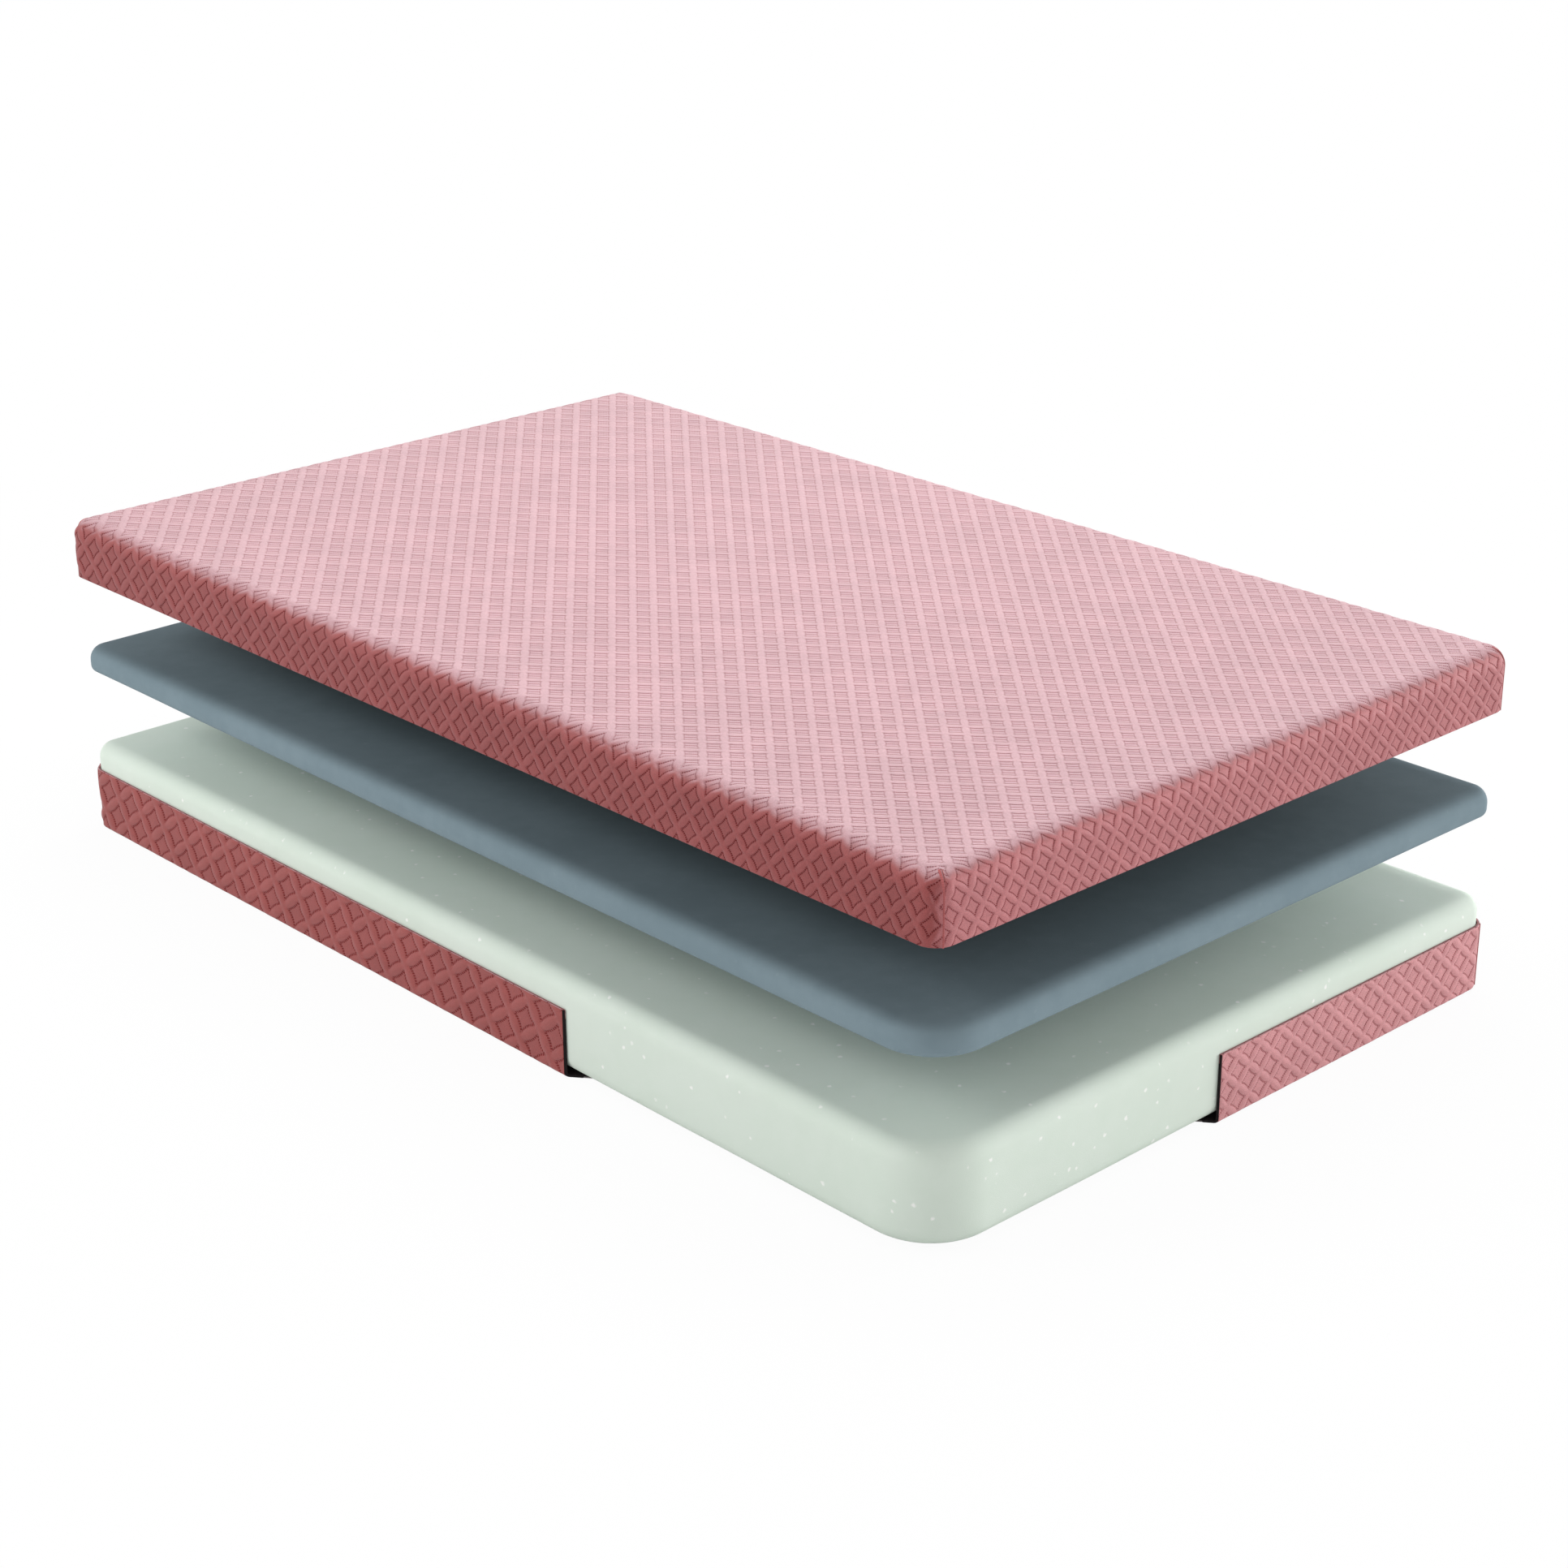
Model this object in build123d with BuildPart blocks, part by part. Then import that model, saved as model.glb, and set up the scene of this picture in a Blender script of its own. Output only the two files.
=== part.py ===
"""Memory foam mattress shown with its layers lifted apart.

Two halves of a removable knitted cover enclose a supportive foam core and a memory foam layer.
The lower half is a tray whose near corner is cut away to show the core. X runs along the
length, Y across the width and Z up. The origin is under the middle of the tray.
"""

import os
from math import asin, cos, radians, sin, sqrt

from build123d import *

os.makedirs("parts", exist_ok=True)

# Overall plan of the cover, in millimetres
mattress_length = 2000.0
mattress_width = 1200.0
corner_radius = 32.0

# Cover cloth
fabric_thickness = 2.6
lining_thickness = 1.0
cover_edge_radius = 30.0
tray_edge_radius = 5.0
tray_height = 106.8
hem_turn_under = 18.0
closing_gap = 0.6

# Foam slabs
foam_thickness = 47.0
core_thickness = 150.0
slab_corner_radius = 58.0
core_edge_radius = 28.0
foam_lower_edge_radius = 18.0

# Clearances between pieces that come apart
side_clearance = 1.0
seat_clearance = 0.3
layer_clearance = 0.4

# How far the layers are lifted above where they seat
foam_lift = 127.0
cover_lift = 216.0

# Where the display cut leaves the long front wall and the short right wall of the tray
front_cut_from_corner = 730.0
side_cut_from_corner = 571.5
cut_overrun = 20.0

# Seam strips down the corners of both cover halves
seam_width = 7.0
seam_thickness = 0.9
seam_bearing_from_side = 27.0
seam_top_turn = 70.0

# Zip that closes the two halves, hidden behind their meeting edges
zip_tape_height = 14.0
zip_tape_thickness = 0.6
zip_coil_depth = 1.0
zip_coil_height = 2.0
slider_length = 9.0
slider_height = 8.0
slider_depth = 4.0
slider_fillet = 0.8
slider_clearance = 0.35
slider_end_gap = 0.3
pull_length = 14.0
pull_width = 5.0
pull_thickness = 1.0
pull_corner_radius = 1.2

# Sizes that follow from the ones above
wall = fabric_thickness + lining_thickness
slab_length = mattress_length - 2 * (wall + side_clearance)
slab_width = mattress_width - 2 * (wall + side_clearance)
core_bottom = wall + seat_clearance
core_top = core_bottom + core_thickness
foam_seat = core_top + layer_clearance
foam_bottom = foam_seat + foam_lift
foam_top = foam_bottom + foam_thickness
cover_top = foam_top + layer_clearance + wall + cover_lift
closed_top = foam_seat + foam_thickness + layer_clearance + wall
skirt_height = closed_top - tray_height - closing_gap
skirt_bottom = cover_top - skirt_height
top_round = min(cover_edge_radius, corner_radius - fabric_thickness)
foam_upper_round = top_round - wall
foam_lower_round = min(foam_lower_edge_radius, foam_thickness - foam_upper_round - layer_clearance)
core_round = min(core_edge_radius, core_thickness / 2 - layer_clearance)
half_length = mattress_length / 2
half_width = mattress_width / 2
cloth_inner_radius = corner_radius - fabric_thickness

# The near corner that the display cut takes off the tray
with BuildPart() as display_corner:
    with BuildSketch():
        with BuildLine():
            Polyline(
                (half_length - front_cut_from_corner, -half_width),
                (half_length, -half_width + side_cut_from_corner),
                (half_length + cut_overrun, -half_width + side_cut_from_corner),
                (half_length + cut_overrun, -half_width - cut_overrun),
                (half_length - front_cut_from_corner, -half_width - cut_overrun),
                close=True,
            )
        make_face()
    extrude(amount=tray_height)

# The stretch of the back left corner between the two ends of the zip
zip_corner = (-half_length + corner_radius, half_width - corner_radius)
zip_corner_bearing = radians(135.0)
with BuildPart() as zip_break:
    with BuildSketch():
        with BuildLine():
            Polyline(
                zip_corner,
                (zip_corner[0], half_width),
                (-half_length, half_width),
                close=True,
            )
        make_face()
    extrude(amount=cover_top)

# Knitted upper half of the cover, one cloth over the top and down the sides
with BuildPart() as top_cover_fabric:
    with BuildSketch(Plane.XY.offset(skirt_bottom)):
        RectangleRounded(mattress_length, mattress_width, corner_radius)
    extrude(amount=skirt_height)
    fillet(top_cover_fabric.faces().sort_by(Axis.Z)[-1].edges(), top_round)
    offset(amount=-fabric_thickness, openings=top_cover_fabric.faces().sort_by(Axis.Z)[0])
top_cover_fabric.part.label = "top_cover_fabric"
export_step(top_cover_fabric.part, "parts/top_cover_fabric.step")

# Dark lining behind the knit, down to the zip tape
with BuildPart() as top_cover_lining:
    with BuildSketch(Plane.XY.offset(skirt_bottom + zip_tape_height)):
        RectangleRounded(
            mattress_length - 2 * fabric_thickness,
            mattress_width - 2 * fabric_thickness,
            corner_radius - fabric_thickness,
        )
    extrude(amount=skirt_height - zip_tape_height - fabric_thickness)
    fillet(top_cover_lining.faces().sort_by(Axis.Z)[-1].edges(), top_round - fabric_thickness)
    offset(amount=-lining_thickness, openings=top_cover_lining.faces().sort_by(Axis.Z)[0])
top_cover_lining.part.label = "top_cover_lining"
export_step(top_cover_lining.part, "parts/top_cover_lining.step")

# Memory foam layer, its upper edge rounded to lie inside the cover's edge
with BuildPart() as memory_foam_layer:
    with BuildSketch(Plane.XY.offset(foam_bottom)):
        RectangleRounded(slab_length, slab_width, slab_corner_radius)
    extrude(amount=foam_thickness)
    fillet(memory_foam_layer.faces().sort_by(Axis.Z)[-1].edges(), foam_upper_round)
    fillet(memory_foam_layer.faces().sort_by(Axis.Z)[0].edges(), foam_lower_round)
memory_foam_layer.part.label = "memory_foam_layer"
export_step(memory_foam_layer.part, "parts/memory_foam_layer.step")

# Supportive foam core that stands in the tray
with BuildPart() as support_core:
    with BuildSketch(Plane.XY.offset(core_bottom)):
        RectangleRounded(slab_length, slab_width, slab_corner_radius)
    extrude(amount=core_thickness)
    fillet(support_core.faces().sort_by(Axis.Z)[-1].edges(), core_round)
    fillet(support_core.faces().sort_by(Axis.Z)[0].edges(), core_round)
support_core.part.label = "support_core"
export_step(support_core.part, "parts/support_core.step")

# Knitted border of the tray, turned under to the base and cut away at the near corner
base_length = mattress_length - 2 * hem_turn_under
base_width = mattress_width - 2 * hem_turn_under
base_corner_radius = max(corner_radius - hem_turn_under, fabric_thickness)
with BuildPart() as tray_border:
    with BuildSketch():
        RectangleRounded(mattress_length, mattress_width, corner_radius)
    extrude(amount=tray_height)
    fillet(tray_border.faces().sort_by(Axis.Z)[0].edges(), tray_edge_radius)
    offset(amount=-fabric_thickness, openings=tray_border.faces().sort_by(Axis.Z)[-1])
    with BuildSketch():
        RectangleRounded(base_length, base_width, base_corner_radius)
    extrude(amount=fabric_thickness, mode=Mode.SUBTRACT)
    add(display_corner.part, mode=Mode.SUBTRACT)
tray_border.part.label = "tray_border"
export_step(tray_border.part, "parts/tray_border.step")

# Hard-wearing base cloth that the mattress lies on
with BuildPart() as base_panel:
    with BuildSketch():
        RectangleRounded(base_length, base_width, base_corner_radius)
    extrude(amount=fabric_thickness)
    add(display_corner.part, mode=Mode.SUBTRACT)
base_panel.part.label = "base_panel"
export_step(base_panel.part, "parts/base_panel.step")

# Dark lining of the tray, over the base and up to the zip tape
with BuildPart() as tray_lining:
    with BuildSketch(Plane.XY.offset(fabric_thickness)):
        RectangleRounded(
            mattress_length - 2 * fabric_thickness,
            mattress_width - 2 * fabric_thickness,
            corner_radius - fabric_thickness,
        )
    extrude(amount=tray_height - zip_tape_height - fabric_thickness)
    fillet(tray_lining.faces().sort_by(Axis.Z)[0].edges(), tray_edge_radius - fabric_thickness)
    offset(amount=-lining_thickness, openings=tray_lining.faces().sort_by(Axis.Z)[-1])
    add(display_corner.part, mode=Mode.SUBTRACT)
tray_lining.part.label = "tray_lining"
export_step(tray_lining.part, "parts/tray_lining.step")

# Zip tape and coil behind the meeting edge of each half
for half, edge, away in (("top", skirt_bottom, 1), ("tray", tray_height, -1)):
    bands = (
        ("zip_tape", fabric_thickness, zip_tape_thickness, zip_tape_height),
        ("zip_coil", fabric_thickness + zip_tape_thickness, zip_coil_depth, zip_coil_height),
    )
    for band, inset, depth, height in bands:
        with BuildPart() as zip_band:
            with BuildSketch(Plane.XY.offset(edge)):
                RectangleRounded(
                    mattress_length - 2 * inset,
                    mattress_width - 2 * inset,
                    corner_radius - inset,
                )
                RectangleRounded(
                    mattress_length - 2 * (inset + depth),
                    mattress_width - 2 * (inset + depth),
                    corner_radius - inset - depth,
                    mode=Mode.SUBTRACT,
                )
            extrude(amount=away * height)
            add(zip_break.part, mode=Mode.SUBTRACT)
            if half == "tray":
                add(display_corner.part, mode=Mode.SUBTRACT)
        zip_band.part.label = f"{half}_{band}"
        export_step(zip_band.part, f"parts/{half}_{band}.step")

# Slider parked at the end of the tray's coil, in the space beside the core's rounded corner
slider_face = sqrt((cloth_inner_radius - slider_clearance) ** 2 - (slider_length / 2) ** 2)
coil_inner_radius = cloth_inner_radius - zip_tape_thickness - zip_coil_depth
slider_bearing = zip_corner_bearing - asin((slider_length / 2 + slider_end_gap) / coil_inner_radius)
slider_plane = Plane(
    origin=(*zip_corner, tray_height),
    x_dir=(cos(slider_bearing), sin(slider_bearing), 0),
    z_dir=(0, 0, 1),
)
with BuildPart(slider_plane) as zip_slider:
    with Locations((slider_face - slider_depth / 2, 0, 0)):
        Box(slider_depth, slider_length, slider_height)
    fillet(zip_slider.edges().filter_by(Axis.Z), slider_fillet)
zip_slider.part.label = "zip_slider"
export_step(zip_slider.part, "parts/zip_slider.step")

# Pull tab hanging against the inner face of the slider
pull_plane = Plane(
    origin=slider_plane.from_local_coords((slider_face - slider_depth, 0, slider_height / 2)),
    x_dir=slider_plane.y_dir,
    z_dir=-slider_plane.x_dir,
)
with BuildPart() as zip_pull:
    with BuildSketch(pull_plane):
        RectangleRounded(pull_width, pull_length, pull_corner_radius, align=(Align.CENTER, Align.MAX))
    extrude(amount=pull_thickness)
zip_pull.part.label = "zip_pull"
export_step(zip_pull.part, "parts/zip_pull.step")

# Seam strips down the corners, a little round towards the short ends
seam_bearing = radians(seam_bearing_from_side)
corners = {
    "front_right": (1, -1),
    "back_right": (1, 1),
    "back_left": (-1, 1),
    "front_left": (-1, -1),
}
for corner, (side_x, side_y) in corners.items():
    seam_plane = Plane(
        origin=(side_x * (half_length - corner_radius), side_y * (half_width - corner_radius), 0),
        x_dir=(side_x * cos(seam_bearing), side_y * sin(seam_bearing), 0),
        z_dir=(side_y * sin(seam_bearing), -side_x * cos(seam_bearing), 0),
    )

    # Upper strip, from the meeting edge up over the rounded top edge
    with BuildPart() as top_seam:
        with BuildLine(seam_plane):
            Line((corner_radius, skirt_bottom), (corner_radius, cover_top - top_round))
            CenterArc((corner_radius - top_round, cover_top - top_round), top_round, 0, seam_top_turn)
        foot = seam_plane.from_local_coords((corner_radius, skirt_bottom))
        with BuildSketch(Plane(origin=foot, x_dir=seam_plane.z_dir, z_dir=(0, 0, 1))):
            Rectangle(seam_width, seam_thickness, align=(Align.CENTER, Align.MIN))
        sweep()
    top_seam.part.label = f"top_seam_{corner}"
    export_step(top_seam.part, f"parts/top_seam_{corner}.step")

    # Lower strip, on the three corners of the tray that are whole
    if corner == "front_right":
        continue
    with BuildPart() as tray_seam:
        foot = seam_plane.from_local_coords((corner_radius, tray_edge_radius))
        with BuildSketch(Plane(origin=foot, x_dir=seam_plane.z_dir, z_dir=(0, 0, 1))):
            Rectangle(seam_width, seam_thickness, align=(Align.CENTER, Align.MIN))
        extrude(amount=tray_height - tray_edge_radius)
    tray_seam.part.label = f"tray_seam_{corner}"
    export_step(tray_seam.part, f"parts/tray_seam_{corner}.step")
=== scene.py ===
"""Looks of a memory foam mattress whose layers are lifted apart.

A knitted cover with a raised lattice goes over everything, a blue grey memory foam layer and a pale
green core lie under it, and a knitted tray with its near corner cut away holds the core.
Sizes are in metres. X runs along the mattress, Y across it and Z up.
"""

import logging
import math
from collections.abc import Callable, Iterator
from contextlib import contextmanager
from dataclasses import dataclass, field
from enum import Enum

import bpy
import numpy as np
from mathutils import Matrix, Vector


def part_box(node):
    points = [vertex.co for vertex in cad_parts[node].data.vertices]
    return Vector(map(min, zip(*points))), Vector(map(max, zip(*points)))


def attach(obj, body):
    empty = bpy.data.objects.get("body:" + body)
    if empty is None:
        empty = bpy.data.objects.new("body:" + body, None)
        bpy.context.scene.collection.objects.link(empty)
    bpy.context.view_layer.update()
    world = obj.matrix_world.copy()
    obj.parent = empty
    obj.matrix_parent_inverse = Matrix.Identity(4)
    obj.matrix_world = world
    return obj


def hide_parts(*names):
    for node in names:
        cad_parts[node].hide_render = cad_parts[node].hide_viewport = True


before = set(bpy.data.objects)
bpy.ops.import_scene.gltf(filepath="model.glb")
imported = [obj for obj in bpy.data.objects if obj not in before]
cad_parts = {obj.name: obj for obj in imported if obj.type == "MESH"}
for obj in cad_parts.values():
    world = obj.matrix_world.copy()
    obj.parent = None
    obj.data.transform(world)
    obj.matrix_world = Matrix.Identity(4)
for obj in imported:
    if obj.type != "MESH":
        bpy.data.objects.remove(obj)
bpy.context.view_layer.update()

Colour = tuple[float, float, float]
Place = tuple[float, float, float]
Pair = tuple[float, float]
Piece = bpy.types.Object
Material = bpy.types.Material
Socket = bpy.types.NodeSocket
Outputs = bpy.types.NodeOutputs
Warp = Callable[[np.ndarray], np.ndarray]
Test = Callable[[list[Vector]], bool]

LATTICE_MAP = "lattice"
ATLAS_MAP = "OFBake"
MILLIMETRE = 0.001
CLOSE = 1e-5
TINY = 1e-6

# The cover: its upright corners, its cloth and the tray's lower edge, in metres.
COVER_RADIUS = 0.032
KNIT = 0.0026
TRAY_EDGE = 0.005

# Degrees from a short wall to a corner seam, and the distances from it between which the lattice rises.
SEAM_TURN = 27.0
SEAM_FADE = (0.0025, 0.0075)

# Bearings at the back left corner between which the zip is left out.
ZIP_BREAK = (90.0, 135.0)

# Shape of the lattice, in steps of its grid from the middle of a hollow.
HOLLOW_TIP = 0.325
HOLLOW_BOW = 0.06
HOLLOW_FALL = 0.16
BAND_RISE = 0.15
CROWN_START = 0.08
CROWN_RISE = 0.155

log = logging.getLogger("mattress")


class Wall(Enum):
    """The walls round the mattress, each with the bearing that it faces, in degrees."""

    FRONT = -90.0
    RIGHT = 0.0
    BACK = 90.0
    LEFT = 180.0

    @property
    def out(self) -> np.ndarray:
        """Unit vector that points away from the mattress."""
        turn = math.radians(self.value)
        return np.round([math.cos(turn), math.sin(turn)], 6)

    @property
    def along(self) -> np.ndarray:
        """Unit vector along the wall, anticlockwise seen from above."""
        return np.array([-self.out[1], self.out[0]])

    @property
    def is_end(self) -> bool:
        """True for the two short walls."""
        return self in (Wall.RIGHT, Wall.LEFT)

    def turned(self, pair: tuple) -> tuple:
        """Values for X and Y as the one out from the wall and the one along it."""
        return pair if self.is_end else pair[::-1]


WALLS = list(Wall)


@dataclass(frozen=True)
class Lattice:
    """Raised lattice of a knit: puffed bands along a slanted grid, with sewn hollows between them.

    first and second are the steps from one hollow to the next across the flat cloth, origin is the
    middle of one hollow, and taper tells how much closer the grid gets for each metre along the cloth.
    """

    first: Pair
    second: Pair
    origin: Pair = (0.0, 0.0)
    band_height: float = 0.0018
    crossing_height: float = 0.0013
    hollow_height: float = 0.0004
    sink: float = 0.0009
    taper: Pair = (0.0, 0.0)

    @classmethod
    def plain(cls) -> "Lattice":
        """A square grid of one metre without relief."""
        return cls((1.0, 0.0), (0.0, 1.0), band_height=0.0, crossing_height=0.0, hollow_height=0.0, sink=0.0)

    def steps(self, place: np.ndarray) -> np.ndarray:
        """Counts places in steps of the grid.

        Args:
            place: Places on the flat cloth, in metres, with two numbers on the last axis.

        Returns:
            The same places in steps of first and second.
        """
        basis = np.array([self.first, self.second]).T
        place = place - np.array(self.origin)
        if any(self.taper):
            along = -np.log1p(-self.taper[0] * place[..., 0]) / self.taper[0]
            place = np.stack([along, place[..., 1] / (1 - self.taper[1] * place[..., 0])], -1)
        return place @ np.linalg.inv(basis).T

    def relief(self, place: np.ndarray) -> np.ndarray:
        """How far the cloth stands out from its middle surface.

        Args:
            place: Places on the flat cloth, in metres.

        Returns:
            A height for each place, in metres.
        """
        steps = self.steps(place)
        off = np.abs(steps - np.round(steps))
        bow = HOLLOW_BOW * (1 - np.minimum(off[..., ::-1] / HOLLOW_TIP, 1) ** 2)
        rise = (off - HOLLOW_TIP + bow).max(-1)
        flank = np.sin(np.clip(rise / BAND_RISE, 0, 1) * math.pi / 2)
        crown = np.clip((rise - CROWN_START) / CROWN_RISE, 0, 1)
        floor = np.sin(np.clip(-rise / HOLLOW_FALL, 0, 1) * math.pi / 2)
        band = self.crossing_height * flank + (self.band_height - self.crossing_height) * crown
        return band + self.hollow_height * floor - self.sink


@dataclass
class Columns:
    """Lines of cloth that leave an inner rectangle at right angles and fan out at its corners.

    Each has a foot on the rectangle, a bearing in degrees, the number of the wall that its cloth belongs
    to and its turn from the corner seam in degrees.
    """

    half: Pair
    foot: np.ndarray
    bearing: np.ndarray
    wall: np.ndarray
    seam: np.ndarray
    closed: bool

    @classmethod
    def around(
        cls,
        half: Pair,
        runs: list[tuple[Wall, float, float, int]],
        corner_steps: int = 20,
        closed: bool = True,
    ) -> "Columns":
        """Sets out columns along walls and round the corners between them.

        Args:
            half: Half the inner rectangle's length and width.
            runs: Each wall in turn with where its columns start and end along it, and their steps.
            corner_steps: Strips in a quarter turn.
            closed: Whether the last wall turns back to the first.

        Returns:
            The columns, anticlockwise seen from above.
        """
        feet, bearings, walls, seams = [], [], [], []
        for number, (wall, start, end, steps) in enumerate(runs):
            reach, _ = wall.turned(half)
            along = np.linspace(start, end, steps + 1)
            feet.append(wall.out * reach + np.outer(along, wall.along))
            bearings.append(np.full(steps + 1, wall.value))
            walls.append(np.full(steps + 1, WALLS.index(wall)))
            seams.append(np.full(steps + 1, 180.0))
            if not closed and number + 1 == len(runs):
                continue
            following = runs[(number + 1) % len(runs)][0]
            turn = 90.0 * np.arange(1, corner_steps) / corner_steps
            seam_at = 90.0 - SEAM_TURN if following.is_end else SEAM_TURN
            feet.append(np.repeat(feet[-1][-1:], len(turn), 0))
            bearings.append(wall.value + turn)
            before = turn < seam_at - TINY
            walls.append(np.where(before, WALLS.index(wall), WALLS.index(following)))
            seams.append(np.abs(turn - seam_at))
        return cls(half, *(np.concatenate(x) for x in (feet, bearings, walls, seams)), closed)

    @classmethod
    def all_round(cls, half: Pair, counts: tuple[int, int], corner_steps: int = 20) -> "Columns":
        """Sets out columns round the whole rectangle.

        Args:
            half: Half its length and width.
            counts: Steps along its length and width.
            corner_steps: Strips in a quarter turn.

        Returns:
            The columns, anticlockwise seen from above.
        """
        runs = []
        for wall in WALLS:
            _, span = wall.turned(half)
            _, count = wall.turned(counts)
            runs.append((wall, -span, span, count))
        return cls.around(half, runs, corner_steps)

    def end_fade(self, width: float) -> np.ndarray:
        """Rises from 0 at the two ends of open columns to 1 at a width from them."""
        walk = np.concatenate([[0.0], np.cumsum(np.hypot(*np.diff(self.foot, axis=0).T))])
        return np.clip(np.minimum(walk, walk[-1] - walk) / width, 0, 1)

    def along(self, wall: Wall, reach: np.ndarray, keep: np.ndarray) -> np.ndarray:
        """Places along a wall's cloth, which runs on round the corner to its seam.

        Args:
            wall: The wall whose cloth it is.
            reach: Distance out from the foot, one for each row.
            keep: Numbers of the columns.

        Returns:
            A place for each row and column, in metres.
        """
        turn = (self.bearing[keep] - wall.value + 180.0) % 360.0 - 180.0
        return self.foot[keep] @ wall.along + np.outer(reach, np.radians(turn))


@dataclass
class Section:
    """Outline of a soft piece cut through, drawn by walking along it with the outside on the left.

    heading is in degrees, 0 outwards and 90 up, and relief is the share of the lattice's height at the
    start. Each row holds reach, height, facing, run, share of the lattice's height and material number.
    """

    reach: float
    height: float
    heading: float
    relief: float = 0.0
    run: float = 0.0
    rows: list[tuple[float, ...]] = field(default_factory=list)

    def __post_init__(self) -> None:
        """Marks the first row."""
        self.mark(self.relief, 0)

    def mark(self, relief: float, finish: int) -> None:
        """Keeps the place reached as a row."""
        facing = math.radians(self.heading + 90.0)
        self.rows.append((self.reach, self.height, facing, self.run, relief, finish))

    def forward(self, length: float, steps: int, relief: float = 0.0, finish: int = 0) -> None:
        """Walks straight on.

        Args:
            length: How far.
            steps: Rows on the way.
            relief: Share of the lattice's height there.
            finish: Number of the material there.
        """
        turn = math.radians(self.heading)
        for _ in range(steps):
            self.reach += length / steps * math.cos(turn)
            self.height += length / steps * math.sin(turn)
            self.run += length / steps
            self.mark(relief, finish)

    def bend(
        self, radius: float, degrees: float, steps: int, relief: float = 0.0, finish: int = 0
    ) -> None:
        """Walks round an arc.

        Args:
            radius: The arc's radius.
            degrees: How far it turns, positive to the right.
            steps: Rows on the way.
            relief: Share of the lattice's height there.
            finish: Number of the material there.
        """
        side = math.copysign(radius, degrees)
        turn = math.radians(self.heading)
        middle = (self.reach + side * math.sin(turn), self.height - side * math.cos(turn))
        for _ in range(steps):
            self.heading -= degrees / steps
            turn = math.radians(self.heading)
            self.reach = middle[0] - side * math.sin(turn)
            self.height = middle[1] + side * math.cos(turn)
            self.run += abs(math.radians(degrees)) * radius / steps
            self.mark(relief, finish)


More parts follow.
